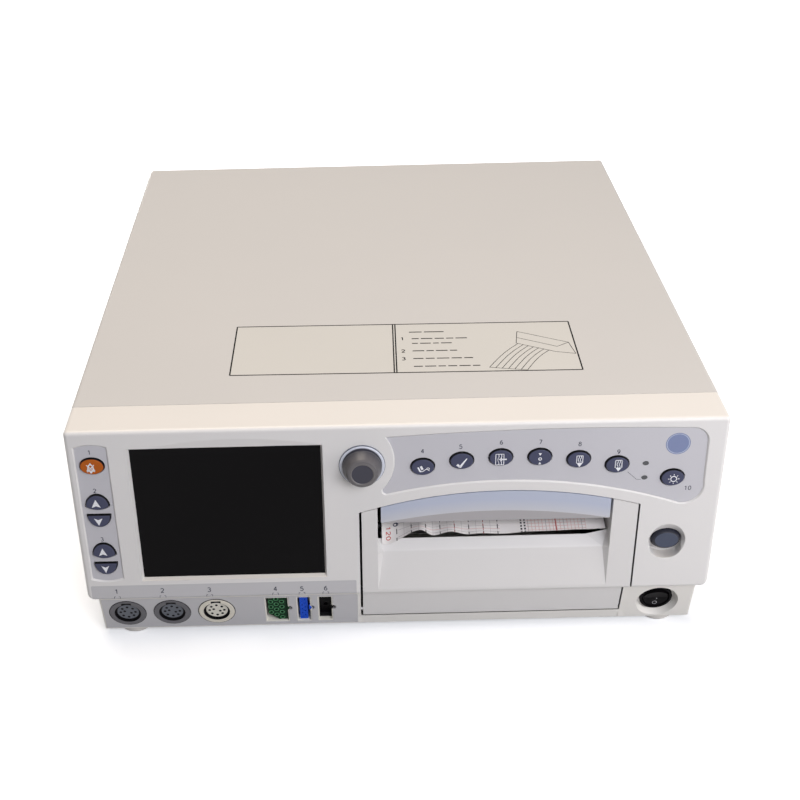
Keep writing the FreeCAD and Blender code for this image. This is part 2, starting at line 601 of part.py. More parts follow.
def key_solid(cap_at, flange):
    """A key: a cap through the fascia, a flange that keeps it in, and a foot over its switch."""
    cap = soften(cap_at(-wall - 0.6, key_proud), key_round, edge_at(key_proud))
    u, v, w_size, h_size = flange
    rim = plate(u, v, w_size, h_size, 2.0, -wall - 1.7, -wall - 0.5)
    foot = Part.makeCylinder(1.6, 2.6, V(u, v, -wall - 4.0))
    return fuse([cap, rim, foot])


def make_keys():
    """Twelve push keys, each its own piece, with their switch boards and dome switches."""
    feet = []

    def add(name, cap_at, flange):
        nodes[name] = on_fascia(key_solid(cap_at, flange))
        feet.append(flange[:2])

    add("alarm_key", lambda a, b: oval(strip_u, alarm_v, alarm_w, alarm_h, a, b),
        (strip_u, alarm_v, alarm_w + 3.0, alarm_h + 3.0))
    for number in (1, 2):
        for word, pair, up in (("raise", volume_up, True), ("lower", volume_down, False)):
            top, bottom = pair[number - 1]
            add("volume_%d_%s_key" % (number, word),
                lambda a, b, t=top, o=bottom, r=up: prism(volume_outline(t, o, r, 0), a, b),
                (strip_u, (top + bottom) / 2, volume_w + 3.2, top - bottom + 2.8))
    for number, (u, v) in enumerate(key_places()[:-1], 1):
        add("function_key_%d" % number, lambda a, b, u=u, v=v: oval(u, v, key_w, key_h, a, b),
            (u, v, key_w + 3.0, key_h + 3.0))
    u, v = light_key
    add("light_key", lambda a, b: oval(u, v, key_w, key_h, a, b), (u, v, key_w + 3.0, key_h + 3.0))
    spare = 0.5
    switch_top = -wall - 4.0 - key_travel - spare
    switches = []
    for u, v in feet:
        case = box(u - 3, u + 3, v - 3, v + 3, board_w + 0.02, switch_top - 0.8)
        dome = Part.makeCylinder(1.7, 1.0, V(u, v, switch_top - 1.0))
        switches.append(on_fascia(case.fuse(dome).removeSplitter()))
    nodes["dome_switches"] = group(switches)
    left = box(strip_u - 10, strip_u + 10, 15, 121, board_w - 1.6, board_w - 0.02)
    right = box(2.0, 196.0, 84.0, 121.0, board_w - 1.6, board_w - 0.02)
    right_wing = box(166.0, 196.0, 72.0, 85.0, board_w - 1.6, board_w - 0.02)
    nodes["switch_boards"] = group([on_fascia(left), on_fascia(right.fuse(right_wing).removeSplitter())])


def turned(profile, u, v):
    """A solid of revolution about the fascia's normal, from (radius, w) points."""
    ring = [V(r, 0, w) for r, w in profile]
    solid = Part.Face(Part.makePolygon(ring + ring[:1])).revolve(V(0, 0, 0), V(0, 0, 1), 360)
    solid.translate(V(u, v, 0))
    return solid


def make_knob():
    """Trim knob on its shaft, over a collar, with the encoder behind the fascia."""
    bore = knob_shaft_radius + run_gap
    knob = turned([(bore, knob_base), (knob_radius, knob_base), (knob_radius, knob_base + 1.2),
                   (knob_nose_radius + 0.9, knob_nose - 1.6), (knob_nose_radius, knob_nose - 0.5),
                   (7.4, knob_nose), (6.8, knob_nose - 0.5), (0, knob_nose - 0.5), (0, knob_nose - 3.2),
                   (bore, knob_nose - 3.2)], knob_u, knob_v)
    nodes["knob"] = on_fascia(knob)
    shaft = Part.makeCylinder(knob_shaft_radius, 23.2, V(knob_u, knob_v, knob_nose - 3.6 - 23.2))
    nodes["knob_shaft"] = on_fascia(shaft)
    collar = turned([(5.4, 0.02), (collar_radius, 0.02), (collar_radius, 0.6), (collar_radius - 0.8, 1.4),
                     (collar_radius - 2.2, 1.4), (5.4, 0.9)], knob_u, knob_v)
    nodes["knob_collar"] = on_fascia(collar)
    bush = Part.makeCylinder(5.0, 4.5, V(knob_u, knob_v, -4.2))
    body = box(knob_u - 8, knob_u + 8, knob_v - 8, knob_v + 8, -18.5, -4.0)
    encoder = bush.fuse(body).removeSplitter().cut(Part.makeCylinder(bore, 40, V(knob_u, knob_v, -17.0)))
    nodes["encoder"] = on_fascia(encoder)


def channel(u0, u1, v0):
    """A door pillar: a front wall with two side walls behind it, up to the arch."""
    outer = box(u0, u1, v0, 90, -pillar_depth, 0)
    inner = box(u0 + pillar_wall, u1 - pillar_wall, v0 - 1, 91, -pillar_depth - 1, -wall)
    return outer.cut(inner)


def ledge_facet(edge, inward, at_fold, at_crest, rise):
    """A slanted corner between a pillar's inner face and the sloped panel, up to the ledge's crest."""
    foot, brow = V(edge, 3.0, 0), V(edge, fold_v + 1.0, 0)
    fold_end = V(edge + inward * at_fold, fold_v, fold_w)
    crest_end = V(edge + inward * at_crest, ledge_v, ledge_w)
    crest_top = V(edge, ledge_v + rise, ledge_w)
    sides = [(foot, brow, fold_end), (fold_end, brow, crest_top), (fold_end, crest_top, crest_end),
             (foot, fold_end, crest_end), (foot, crest_end, crest_top), (foot, crest_top, brow)]
    solid = Part.Solid(Part.Shell([Part.Face(Part.makePolygon([a, b, c, a])) for a, b, c in sides]))
    if solid.Volume < 0:
        solid.reverse()
    return solid


def make_door():
    """Recorder door: two pillars, sloped panel with the paper ledge, apron, hinge barrel and platen arms."""
    low = (lip_bottom - lip_z) / math.cos(math.radians(lean))
    left_pillar = channel(door_left, bay_left, low)
    right_pillar = channel(bay_right, door_right, low)
    profile = [(low, 0), (3.0, 0), (fold_v, fold_w), (ledge_v, ledge_w), (ledge_v - 3.0, ledge_w),
               (fold_v - 3.0, fold_w - 3.1), (3.0, -3.1), (low, -3.1)]
    ring = [V(bay_left - 0.5, v, w) for v, w in profile]
    middle = Part.Face(Part.makePolygon(ring + ring[:1])).extrude(V(bay_right - bay_left + 1.0, 0, 0))
    middle = soften(middle, fold_round, lambda e: e.BoundBox.XLength > 100
                    and abs(e.BoundBox.YMin - fold_v) < 1e-3)
    facets = [ledge_facet(bay_left, 1, *facet_left), ledge_facet(bay_right, -1, *facet_right)]
    upper = fuse([left_pillar, right_pillar, middle] + facets)
    upper = on_fascia(upper.common(prism(door_outline(door_left, door_right, door_gap), -40, 1)))
    sill = box(door_left, apron_right, lip_y, lip_y + panel_setback + 3.2, lip_bottom, lip_bottom + wall)
    back = lip_y + 60.0
    envelope = side_prism([(fascia_y(lip_bottom), lip_bottom), (fascia_y(height), height), (back, height),
                           (back, lip_bottom)], door_left, door_right)
    envelope = soften(envelope, fascia_round - 0.4, lambda e: e.BoundBox.XLength > 100
                      and e.BoundBox.ZMax < lip_bottom + 0.1 and e.BoundBox.YMax < lip_y + 1)
    swing = rod(swing_radius, V(apron_right, hinge_y, hinge_z), V(door_right + 1, hinge_y, hinge_z))
    upper = fuse([upper, sill]).common(envelope).cut(swing)
    apron_top = (lip_bottom + 1.0 - panel_top) / math.cos(math.radians(undercut))
    apron_low = (apron_bottom - panel_top) / math.cos(math.radians(undercut))
    apron = on_panel(box(door_left, apron_right, apron_low, apron_top, -wall, 0))
    barrel = rod(hinge_radius, V(door_left, hinge_y, hinge_z), V(apron_right, hinge_y, hinge_z))
    arms = [box(x, x + pillar_wall, lip_y + 12.0, platen_y + 7.0, platen_z - 14.0, platen_z + 7.0)
            for x in (bay_left - pillar_wall, bay_right)]
    door = fuse([upper, apron, barrel] + arms)
    pin_hole, shaft_hole = pin_radius + run_gap, shaft_radius + run_gap
    cuts = [rod(pin_hole, V(door_left - 1, hinge_y, hinge_z), V(door_left + 14, hinge_y, hinge_z)),
            rod(pin_hole, V(apron_right - 14, hinge_y, hinge_z), V(apron_right + 1, hinge_y, hinge_z)),
            rod(shaft_hole, V(bay_left - 4, platen_y, platen_z), V(bay_right + 4, platen_y, platen_z))]
    nodes["recorder_door"] = door.cut(gather(cuts)).removeSplitter()
    nodes["hinge_pins"] = group([
        rod(pin_radius, V(door_left - 4.4, hinge_y, hinge_z), V(door_left + 13, hinge_y, hinge_z)),
        rod(pin_radius, V(apron_right - 13, hinge_y, hinge_z), V(apron_right + 4.4, hinge_y, hinge_z))])


def gear(teeth, x0, thick, y, z, bore, turn):
    """A spur gear about X, with involute flanks thinned a little for backlash."""
    pitch = gear_module * teeth / 2
    base = pitch * math.cos(math.radians(20))
    tip, root = pitch + gear_module * 0.92, pitch - gear_module * 1.2
    involute = lambda r: math.tan(math.acos(base / r)) - math.acos(base / r)
    half_tooth = math.pi / (2 * teeth) - 0.05 / pitch
    points = []
    for i in range(teeth):
        middle = 2 * math.pi * i / teeth + turn
        flank = []
        for k in range(4):
            r = max(base, root) + (tip - max(base, root)) * k / 3
            flank.append((r, half_tooth + involute(pitch) - involute(r)))
        ends = [(root, flank[0][1])] if root < base else []
        rise = ends + flank
        points += [(r, middle - a) for r, a in rise] + [(r, middle + a) for r, a in reversed(rise)]
    ring = [V(x0, y + r * math.cos(a), z + r * math.sin(a)) for r, a in points]
    blank = Part.Face(Part.makePolygon(ring + ring[:1])).extrude(V(thick, 0, 0))
    if bore:
        blank = blank.cut(rod(bore, V(x0 - 1, y, z), V(x0 + thick + 1, y, z)))
    return blank


def bar_outline(middle):
    """Outline of the bar: the arch above, two straight ends, and a slightly sagging bottom edge."""
    top_left = V(bar_left, arc_v(bar_left, arch_u, arch_v - door_gap, arch_radius), 0)
    top_right = V(bar_right, arc_v(bar_right, arch_u, arch_v - door_gap, arch_radius), 0)
    low_left, low_right = V(bar_left, bar_bottom, 0), V(bar_right, bar_bottom, 0)
    return [
        Part.Arc(top_right, V(arch_u, arch_v - door_gap, 0), top_left),
        Part.LineSegment(top_left, low_left),
        Part.Arc(low_left, V(middle, bar_bottom - bar_sag, 0), low_right),
        Part.LineSegment(low_right, top_right),
    ]


def make_recorder():
    """Fixed recorder: frame, bar over the slot, print head, motor, pinion and paper; platen on the door."""
    middle = (bar_left + bar_right) / 2
    bar = prism(bar_outline(middle), -bar_depth, 0)
    bar = soften(bar, bar_corner, lambda e: abs(e.BoundBox.XMin - bar_right) < 1e-3
                 and e.BoundBox.XLength < 1e-3 and e.BoundBox.ZLength > 5
                 and e.BoundBox.YMax < bar_bottom + 1)
    centre_v = bar_bottom - bar_sag + bevel_rise - bevel_radius
    bevel_ends = bevel_radius - 3 * bevel_slope, bevel_radius + bevel_slope
    bar = bar.cut(Part.makeCone(*bevel_ends, 4, V(middle, centre_v, -3)))
    lug = box(middle - 30, middle + 30, lip_y + 16.0, frame_front + 20.0, frame_top + 0.05, frame_top + 3.0)
    nodes["recorder_bar"] = on_fascia(bar).fuse(lug).removeSplitter()
    floor = box(frame_left, frame_right, frame_front, frame_back, frame_floor, frame_floor + sheet)
    sides = [box(x, x + sheet, frame_front, frame_back, base_top + 0.02, frame_top)
             for x in (frame_left, frame_right - sheet)]
    deck = box(frame_left, frame_right, frame_front, frame_front + 70, frame_top - sheet, frame_top)
    spread = gear_module * (gear_teeth + pinion_teeth) / 2
    away = math.atan2(hinge_y - platen_y, platen_z - hinge_z)
    pinion_y, pinion_z = platen_y + spread * math.cos(away), platen_z + spread * math.sin(away)
    back = box(frame_left, frame_right, frame_back - sheet, frame_back, frame_floor, 60.0)
    frame = fuse([floor, deck, back] + sides)
    spindle_hole = rod(3.5, V(frame_right - 5, pinion_y, pinion_z), V(frame_right + 5, pinion_y, pinion_z))
    nodes["recorder_frame"] = frame.cut(spindle_hole)
    head_y = platen_y + platen_radius + 1.0
    head = box(platen_left + 2, platen_right - 2, head_y, head_y + 3.0, 70.0, 96.0)
    sink = box(platen_left + 2, platen_right - 2, head_y + 3.0, head_y + 12.0, 76.0, frame_top - sheet - 0.02)
    grooves = [box(x, x + 3, head_y + 6.0, head_y + 13.0, 75.0, 104.0)
               for x in range(int(platen_left) + 6, int(platen_right) - 6, 8)]
    nodes["print_head"] = head.fuse(sink).removeSplitter().cut(gather(grooves))
    motor = box(frame_right + 0.02, frame_right + 22, pinion_y - 12, pinion_y + 14,
                pinion_z - 14, pinion_z + 14)
    motor = soften(motor, 3.0, lambda e: e.BoundBox.XLength > 10)
    nodes["motor"] = motor.cut(rod(1.5 + run_gap, V(frame_right - 1, pinion_y, pinion_z),
                                   V(frame_right + 12, pinion_y, pinion_z)))
    mesh_turn = away + math.pi + math.pi / pinion_teeth
    pinion = gear(pinion_teeth, gear_left, gear_width, pinion_y, pinion_z, 0, mesh_turn)
    shaft = rod(1.5, V(gear_left + 1, pinion_y, pinion_z), V(frame_right + 11, pinion_y, pinion_z))
    nodes["motor_pinion"] = pinion.fuse(shaft).removeSplitter()
    nodes["platen_gear"] = gear(gear_teeth, gear_left, gear_width, platen_y, platen_z, shaft_radius, away)
    nodes["platen_shaft"] = rod(shaft_radius, V(bay_left - 5.5, platen_y, platen_z),
                                V(gear_left + gear_width + 1, platen_y, platen_z))
    roller = rod(platen_radius, V(platen_left, platen_y, platen_z), V(platen_right, platen_y, platen_z))
    roller = soften(roller, 0.6, lambda e: e.BoundBox.XLength < 1e-6)
    nodes["platen_roller"] = roller.cut(rod(shaft_radius, V(platen_left - 1, platen_y, platen_z),
                                            V(platen_right + 1, platen_y, platen_z)))
    make_paper()


def make_paper():
    """Paper: a fan-fold pack on the frame's floor, and the strip that comes up behind the platen and out."""
    back = platen_y + platen_radius + 0.4
    turn_z = paper_z - 6.0
    inner = back - 6.0
    lines = []
    for offset in (0.0, paper_thick):
        reach = 6.0 + offset
        slant = reach * math.sqrt(0.5)
        arc = Part.Arc(V(0, inner + reach, turn_z), V(0, inner + slant, turn_z + slant),
                       V(0, inner, turn_z + reach))
        lines.append((V(0, inner + reach, 66.0), arc, V(0, paper_front, turn_z + reach)))
    (a0, arc0, a1), (b0, arc1, b1) = lines
    straight = [(a0, arc0.StartPoint), (arc0.EndPoint, a1), (a1, b1),
                (b1, arc1.EndPoint), (arc1.StartPoint, b0), (b0, a0)]
    edges = [arc0, arc1] + [Part.LineSegment(start, end) for start, end in straight]
    face = Part.Face(Part.Wire(Part.__sortEdges__([e.toShape() for e in edges])))
    strip = face.extrude(V(paper_right - paper_left, 0, 0))
    strip.translate(V(paper_left, 0, 0))
    nodes["paper_strip"] = strip
    pack_low = frame_floor + sheet + 0.05
    pack = box(paper_left, paper_right, frame_front + 14, frame_front + 114, pack_low, pack_low + 15.0)
    folds = []
    for i in range(1, 10):
        z = pack_low + 1.5 * i
        for y in (frame_front + 14, frame_front + 114):
            folds.append(box(paper_left - 1, paper_right + 1, y - 0.6, y + 0.6, z - 0.12, z + 0.12))
    nodes["paper_pack"] = pack.cut(gather(folds))


def make_latch():
    """Door latch: a sliding button in an oval recess, its stem and slide plate, and its return spring."""
    v = latch_v
    wires = []
    for w, less, shift in latch_crown:
        wires.append(Part.Wire(ellipse(latch_u, v + shift, latch_w - less, latch_h - less, w).toShape()))
    crown = Part.makeLoft(wires, True, False)
    side = oval(latch_u, v, latch_w, latch_h, -recess_depth + 0.5, latch_crown[0][0])
    stem = box(latch_u - 3, latch_u + 3, v - 4, v + 4, -recess_depth - 4.0, -recess_depth + 1.0)
    slide_front = -recess_depth - 3.0
    slide = box(latch_u - 9, latch_u + 9, v - 12, v + 9, slide_front - 2.0, slide_front)
    arm = box(door_right + 2.0, latch_u, v - 4, v + 4, slide_front - 2.0, slide_front)
    foot = box(latch_u - 5, latch_u + 5, v - 12, v - 10, slide_front - 9.0, slide_front)
    nodes["latch_button"] = on_fascia(fuse([crown, side, stem, slide, arm, foot]))
    low, high = 8.05, v - 12.05
    turns, coil, wire = 7, 2.8, 0.45
    helix = Part.makeHelix((high - low - 2 * wire) / turns, high - low - 2 * wire, coil)
    section = Part.Wire(Part.Circle(V(coil, 0, 0), V(0, 1, 0), wire).toShape())
    spring = Part.Wire(helix).makePipeShell([section], True, True)
    spring.rotate(V(0, 0, 0), V(1, 0, 0), -90)
    spring.translate(V(latch_u, low + wire, slide_front - 5.5))
    nodes["latch_spring"] = on_fascia(spring)


def make_sockets():
    """Round sockets (ring and pin insert) and rectangular sockets (liner and coloured pin block)."""
    rings, inserts = [], []
    pins = [(5.1 * math.cos(math.pi * i / 4), 5.1 * math.sin(math.pi * i / 4)) for i in range(8)]
    pins += [(-2.2, 0.9), (2.2, -0.9)]
    for u in round_sockets:
        ring = Part.makeCylinder(ring_radius + 1.6, 2.0, V(u, socket_v, -wall - 2.02))
        ring = ring.fuse(Part.makeCylinder(ring_radius - 0.05, wall + 1.0, V(u, socket_v, -wall - 0.5)))
        ring = soften(ring.removeSplitter(), 0.5, edge_at(0.5))
        ring = ring.cut(Part.makeCylinder(ring_inner, 12, V(u, socket_v, -wall - 4)))
        key = box(u - 3.4, u + 3.4, socket_v + ring_inner - 1.5, socket_v + ring_inner + 1.7, -2.2, 2)
        rings.append(on_panel(ring.cut(key)))
        insert = Part.makeCylinder(insert_radius, 9.0, V(u, socket_v, -9.8))
        insert = soften(insert, 0.4, edge_at(-0.8))
        back = Part.makeCylinder(ring_radius + 1.6, 4.0, V(u, socket_v, -9.8))
        insert = insert.fuse(back).removeSplitter()
        holes = [Part.makeCylinder(0.75, 5.0, V(u + a, socket_v + b, -4.5)) for a, b in pins]
        inserts.append(on_panel(insert.cut(gather(holes))))
    nodes["socket_rings"] = group(rings)
    nodes["socket_inserts"] = group(inserts)
    liners = []
    for colour, (u, size) in slot_sockets.items():
        half_w, half_h = size / 2 - 0.05, slot_h / 2 - 0.05
        shell = box(u - half_w, u + half_w, slot_v - half_h, slot_v + half_h, -14.0, -0.4)
        half_w, half_h = half_w - liner_wall, half_h - liner_wall
        well = box(u - half_w, u + half_w, slot_v - half_h, slot_v + half_h, -13.0, 1)
        liners.append(on_panel(shell.cut(well)))
        ring = [V(*corner, block_foot) for corner in block_outline[colour]]
        block = Part.Face(Part.makePolygon(ring + ring[:1])).extrude(V(0, 0, block_face[colour] - block_foot))
        nodes["%s_pin_block" % colour] = on_panel(block.cut(gather(contact_holes(colour))))
    nodes["socket_liners"] = group(liners)


def contact_holes(colour):
    """Staggered contact holes in a pin block's face."""
    holes = []
    for u, top, rows in contact_columns[colour]:
        for row in range(rows):
            v = top - contact_pitch[colour] * row
            holes.append(Part.makeCylinder(contact_radius[colour], 3.0, V(u, v, block_face[colour] - 2.5)))
    return holes


def make_power_switch():
    """Round rocker switch: body with bezel, and the rocker on its trunnions, pressed at its lower half."""
    floor = -dish_depth
    bezel = Part.makeCylinder(bezel_radius, 1.8, V(switch_u, switch_v, floor + 0.02))
    bezel = soften(bezel, 0.6, edge_at(floor + 1.82))
    body = Part.makeCylinder(10.2, 18.0, V(switch_u, switch_v, floor - 17.5))
    well = Part.makeCylinder(9.5, 11.0, V(switch_u, switch_v, floor - 8.0))
    pivot_w = floor - 2.0
    tabs = [box(switch_u + du - 0.4, switch_u + du + 0.4, switch_v - 3, switch_v + 3, floor - 24, floor - 17)
            for du in (-5, 5)]
    case = fuse([bezel, body] + tabs).cut(well)
    axle_hole = rod(1.2 + run_gap, V(switch_u - 9.9, switch_v, pivot_w),
                    V(switch_u + 9.9, switch_v, pivot_w))
    nodes["switch_body"] = on_panel(case.cut(axle_hole))
    disc = Part.makeCylinder(rocker_radius, 9.0, V(switch_u, switch_v, pivot_w - 3.2))
    valley = floor + 1.2
    for sign in (-1, 1):
        slab = box(-20, 20, 0, 30, 0, 20)
        slab.rotate(V(0, 0, 0), V(1, 0, 0), rocker_tilt)
        if sign < 0:
            slab.rotate(V(0, 0, 0), V(0, 0, 1), 180)
        slab.translate(V(switch_u, switch_v, valley))
        disc = disc.cut(slab)
    axle = rod(1.2, V(switch_u - 9.85, switch_v, pivot_w), V(switch_u + 9.85, switch_v, pivot_w))
    rocker = disc.fuse(axle).removeSplitter()
    rocker.rotate(V(switch_u, switch_v, pivot_w), V(1, 0, 0), rocker_tilt)
    nodes["power_rocker"] = on_panel(rocker)


def make_inside():
    """Boards and modules on the base tray."""
    board_z = base_top + stand_off + 0.02
    x0, x1, y0, y1 = board_box
    board = [box(x0, x1, y0, y1, board_z, board_z + 1.6)]
    for px, py, w, d, h in ((-20, 120, 36, 36, 5), (40, 60, 28, 28, 4), (90, 140, 44, 20, 9),
                            (140, 20, 30, 50, 12), (10, 0, 60, 12, 10), (150, 160, 24, 24, 18)):
        board.append(box(px, px + w, py, py + d, board_z + 1.4, board_z + 1.6 + h))
    nodes["main_board"] = fuse(board)
    x0, x1, y0, y1 = supply_box
    supply = [box(x0, x1, y0, y1, board_z, board_z + 2.0),
              box(x0 + 12, x0 + 62, y0 + 30, y0 + 80, board_z + 1.8, board_z + 44),
              box(x0 + 70, x0 + 104, y0 + 20, y0 + 70, board_z + 1.8, board_z + 30)]
    supply += [Part.makeCylinder(9.0, 36.0, V(x0 + 22 + 24 * i, y1 - 26, board_z + 1.8)) for i in range(4)]
    nodes["power_supply"] = fuse(supply)
    speaker_at = V(-120, -70, base_top + 0.02)
    cone = Part.makeCylinder(33.0, 5.0, speaker_at)
    basket = Part.makeCone(30.0, 17.0, 12.0, speaker_at + V(0, 0, 4.5))
    magnet = Part.makeCylinder(18.0, 9.0, speaker_at + V(0, 0, 16))
    nodes["loudspeaker"] = fuse([cone, basket, magnet])
    pump_at = V(-185, -20, base_top + 17.02)
    pump = [rod(16.5, pump_at, pump_at + V(46, 0, 0)),
            rod(13.0, pump_at + V(45, 0, 0), pump_at + V(74, 0, 0)),
            rod(2.5, pump_at + V(73, 0, 6), pump_at + V(84, 0, 6)),
            box(pump_at.x + 4, pump_at.x + 42, pump_at.y - 14, pump_at.y + 14, base_top + 0.02, pump_at.z)]
    nodes["cuff_pump"] = fuse(pump)


def report_sizes():
    """Print the box of the whole part and each node's count of solids."""
    whole = Part.makeCompound(list(nodes.values())).BoundBox
    print("x %.2f %.2f  y %.2f %.2f  z %.2f %.2f" % (whole.XMin, whole.XMax, whole.YMin, whole.YMax,
                                                    whole.ZMin, whole.ZMax))
    for name, shape in nodes.items():
        facts = name, len(shape.Solids), shape.isValid(), shape.Volume
        print("%-20s solids %2d valid %s volume %.0f" % facts)


def main():
    make_fascia()
    make_lower_panel()
    make_cover()
    make_base()
    make_feet_and_screws()
    make_rear()
    make_display()
    make_inlays()
    make_keys()
    make_knob()
    make_door()
    make_recorder()
    make_latch()
    make_sockets()
    make_power_switch()
    make_inside()
    os.makedirs("parts", exist_ok=True)
    for name, shape in nodes.items():
        shape.exportStep("parts/%s.step" % name)
    report_sizes()


main()
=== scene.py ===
# %% [markdown]
# # A fetal monitor, dressed in Blender
# The console's solid pieces come from a CAD model and stay exactly where it put them. This script gives
# them their finishes and adds what CAD leaves out: printed films, key symbols, numbers, the creased chart
# paper, contact rings in the sockets, and the studio round it all.

# %% Load the CAD frame
import math
import bmesh
import bpy
import numpy as np
from mathutils import Matrix, Vector


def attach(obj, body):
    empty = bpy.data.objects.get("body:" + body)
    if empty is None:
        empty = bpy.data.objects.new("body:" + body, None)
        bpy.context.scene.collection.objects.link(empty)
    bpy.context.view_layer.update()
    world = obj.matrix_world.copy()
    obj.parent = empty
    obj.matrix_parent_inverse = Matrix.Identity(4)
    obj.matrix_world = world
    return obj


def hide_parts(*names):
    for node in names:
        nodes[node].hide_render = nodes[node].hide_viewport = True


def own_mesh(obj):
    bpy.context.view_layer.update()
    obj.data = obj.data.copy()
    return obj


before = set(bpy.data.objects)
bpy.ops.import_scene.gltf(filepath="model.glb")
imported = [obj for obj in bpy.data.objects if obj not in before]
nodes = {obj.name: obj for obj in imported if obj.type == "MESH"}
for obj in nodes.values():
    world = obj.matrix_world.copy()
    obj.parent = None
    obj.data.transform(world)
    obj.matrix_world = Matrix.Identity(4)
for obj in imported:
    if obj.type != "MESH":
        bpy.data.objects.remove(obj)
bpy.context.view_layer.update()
print("loaded", len(nodes), "nodes")

# %% [markdown]
# ## Three flat drawing boards
# Almost everything printed on the console lies on one of three planes: the leaning fascia, the undercut
# panel below its lip, and the flat top. Each print could be drawn flat, then turned and moved into place by
# hand. Here each function turns flat millimetres (across, up, outwards) into metres in the part's own
# frame, so the rest of the script can draw as if on paper.

# %% Drawing boards
LIP_Y, LIP_Z = -219.93, 40.1        # the fascia's lower front edge
TOP_Z = 171.0                       # the flat top
SETBACK = 9.3                       # how far the fascia's top edge lies behind its lip
LEAN = math.atan2(SETBACK, TOP_Z - LIP_Z)
LOWER_BACK, LOWER_Z = 4.0, 36.0     # the lower panel's upper edge: behind the lip, and its height
UNDERCUT = math.radians(9.16)       # how far that panel turns back as it goes down
FILM = -0.9                         # printed face of the two film panels, from the fascia's face
KEY_TOP = 0.7                       # top of the key caps, from the fascia's face
INK = 0.03                          # a print stands this far off what it is printed on


def stack(x, y, z):
    """Join x, y and z (mm) into points in metres, whatever their shapes."""
    return np.stack(np.broadcast_arrays(x, y, z), axis=-1) / 1000.0


def on_fascia(u, v, w):
    """Point at u across, v up the leaning face and w out of it: a turn about the lip by the lean."""
    return stack(u, LIP_Y + v * math.sin(LEAN) - w * math.cos(LEAN),
                 LIP_Z + v * math.cos(LEAN) + w * math.sin(LEAN))


def on_lower(u, v, w):
    """Point on the undercut panel, which turns the other way about its upper edge."""
    return stack(u, LIP_Y + LOWER_BACK - v * math.sin(UNDERCUT) - w * math.cos(UNDERCUT),
                 LOWER_Z + v * math.cos(UNDERCUT) - w * math.sin(UNDERCUT))


def on_top(u, v, w):
    """Point on the flat top, v measured back from the lip."""
    return stack(u, LIP_Y + v, TOP_Z + w)


print("fascia leans", round(math.degrees(LEAN), 2), "degrees")

# %% [markdown]
# ## Lamps
# A large warm lamp overhead lights the top, a cooler one beside the camera lights the front, a weak one
# from the right makes that end brighter, and a low one behind lights the back. Point lamps would leave hard
# shadows, so all four are area lamps: the larger the square, the softer the shadow.

# %% Lamps
scene = bpy.context.scene


def soft_lamp(name, place, target, size, power, colour):
    """A square area lamp at a place, aimed at a target, in metres and watts."""
    light = bpy.data.lights.new(name, "AREA")
    light.size = size
    light.energy = power
    light.color = colour
    lamp = bpy.data.objects.new(name, light)
    lamp.location = place
    lamp.rotation_euler = (Vector(target) - Vector(place)).to_track_quat("-Z", "Y").to_euler()
    scene.collection.objects.link(lamp)
    print(name, "lamp of", power, "W")


soft_lamp("overhead", (-0.2, 0.15, 1.75), (0.0, 0.0, 0.1), 1.2, 20.0, (1.0, 0.892, 0.768))
soft_lamp("front", (0.55, -1.27, 1.0), (0.0, -0.2, 0.08), 0.8, 11.6, (0.935, 0.94, 1.0))
soft_lamp("side", (0.7, -0.55, 0.3), (0.15, -0.2, 0.08), 0.5, 1.8, (1.0, 0.97, 0.94))
soft_lamp("rear", (-0.5, 1.3, 0.09), (0.0, 0.22, 0.08), 0.15, 5.0, (1.0, 0.98, 0.96))

# %% [markdown]
# ## Wiring nodes
# A material is nodes and links, which could be wired by hand in the shader editor. These helpers make one
# node and fill its inputs, in order or by name, each with a plain value or with a link from another node.

# %% Wiring helpers


def fill(tree, socket, value):
    """Link a socket to another node's output, or give it a plain value."""
    if isinstance(value, bpy.types.NodeSocket):
        tree.links.new(value, socket)
    else:
        socket.default_value = value


def node(tree, kind, *values, operation=None, **named):
    """A new node with its inputs filled, first in order and then by name."""
    made = tree.nodes.new("ShaderNode" + kind)
    if operation:
        made.operation = operation
    for socket, value in zip(made.inputs, values):
        fill(tree, socket, value)
    for name, value in named.items():
        fill(tree, made.inputs[name.replace("_", " ")], value)
    return made


def calculate(tree, operation, *values):
    """The result of one step of arithmetic."""
    return node(tree, "Math", *values, operation=operation).outputs[0]


def vector_step(tree, operation, *values):
    """The result of one step of arithmetic on vectors."""
    return node(tree, "VectorMath", *values, operation=operation).outputs["Vector"]


print("wiring helpers ready")

# %% [markdown]
# ## Floor and sky
# The floor and sky look white, straight on and in reflections. A truly white floor would also bounce so
# much light up that the front would be as bright as the top, so the Light Path node gives other rays a
# darker floor and a weaker sky. The floor glows a little too, least in front of the console, where its
# shadow has to stay.

# %% Floor and sky
FLOOR_HALF = 6.0                         # metres from the floor's middle to its edges
FLOOR_SEEN, FLOOR_BOUNCE = 0.97, 0.32    # how white the floor looks, and how white it is for bounced light
GLOW_MIDDLE = (0.12, -0.25, 0.0)         # where the glow is weakest
GLOW_NEAR, GLOW_FAR = 0.34, 1.0          # its strength there and far off
GLOW_START, GLOW_END = 0.3, 0.75         # metres from there over which it grows
GLOW_COLOUR = (0.92, 0.95, 1.0, 1)
SKY_SEEN, SKY_LIGHT = 1.0, 0.14          # the sky's strength where it is seen, and as a lamp
SKY_COLOUR = (0.97, 0.985, 1.02, 1)


def seen_switch(tree, other, seen):
    """One number for rays that see the studio, straight or in a reflection, and another for its light."""
    path = node(tree, "LightPath").outputs
    straight = calculate(tree, "MAXIMUM", path["Is Camera Ray"], path["Is Glossy Ray"])
    seeing = calculate(tree, "MAXIMUM", straight, path["Is Transmission Ray"])
    return node(tree, "MapRange", Value=seeing, To_Min=other, To_Max=seen).outputs["Result"]


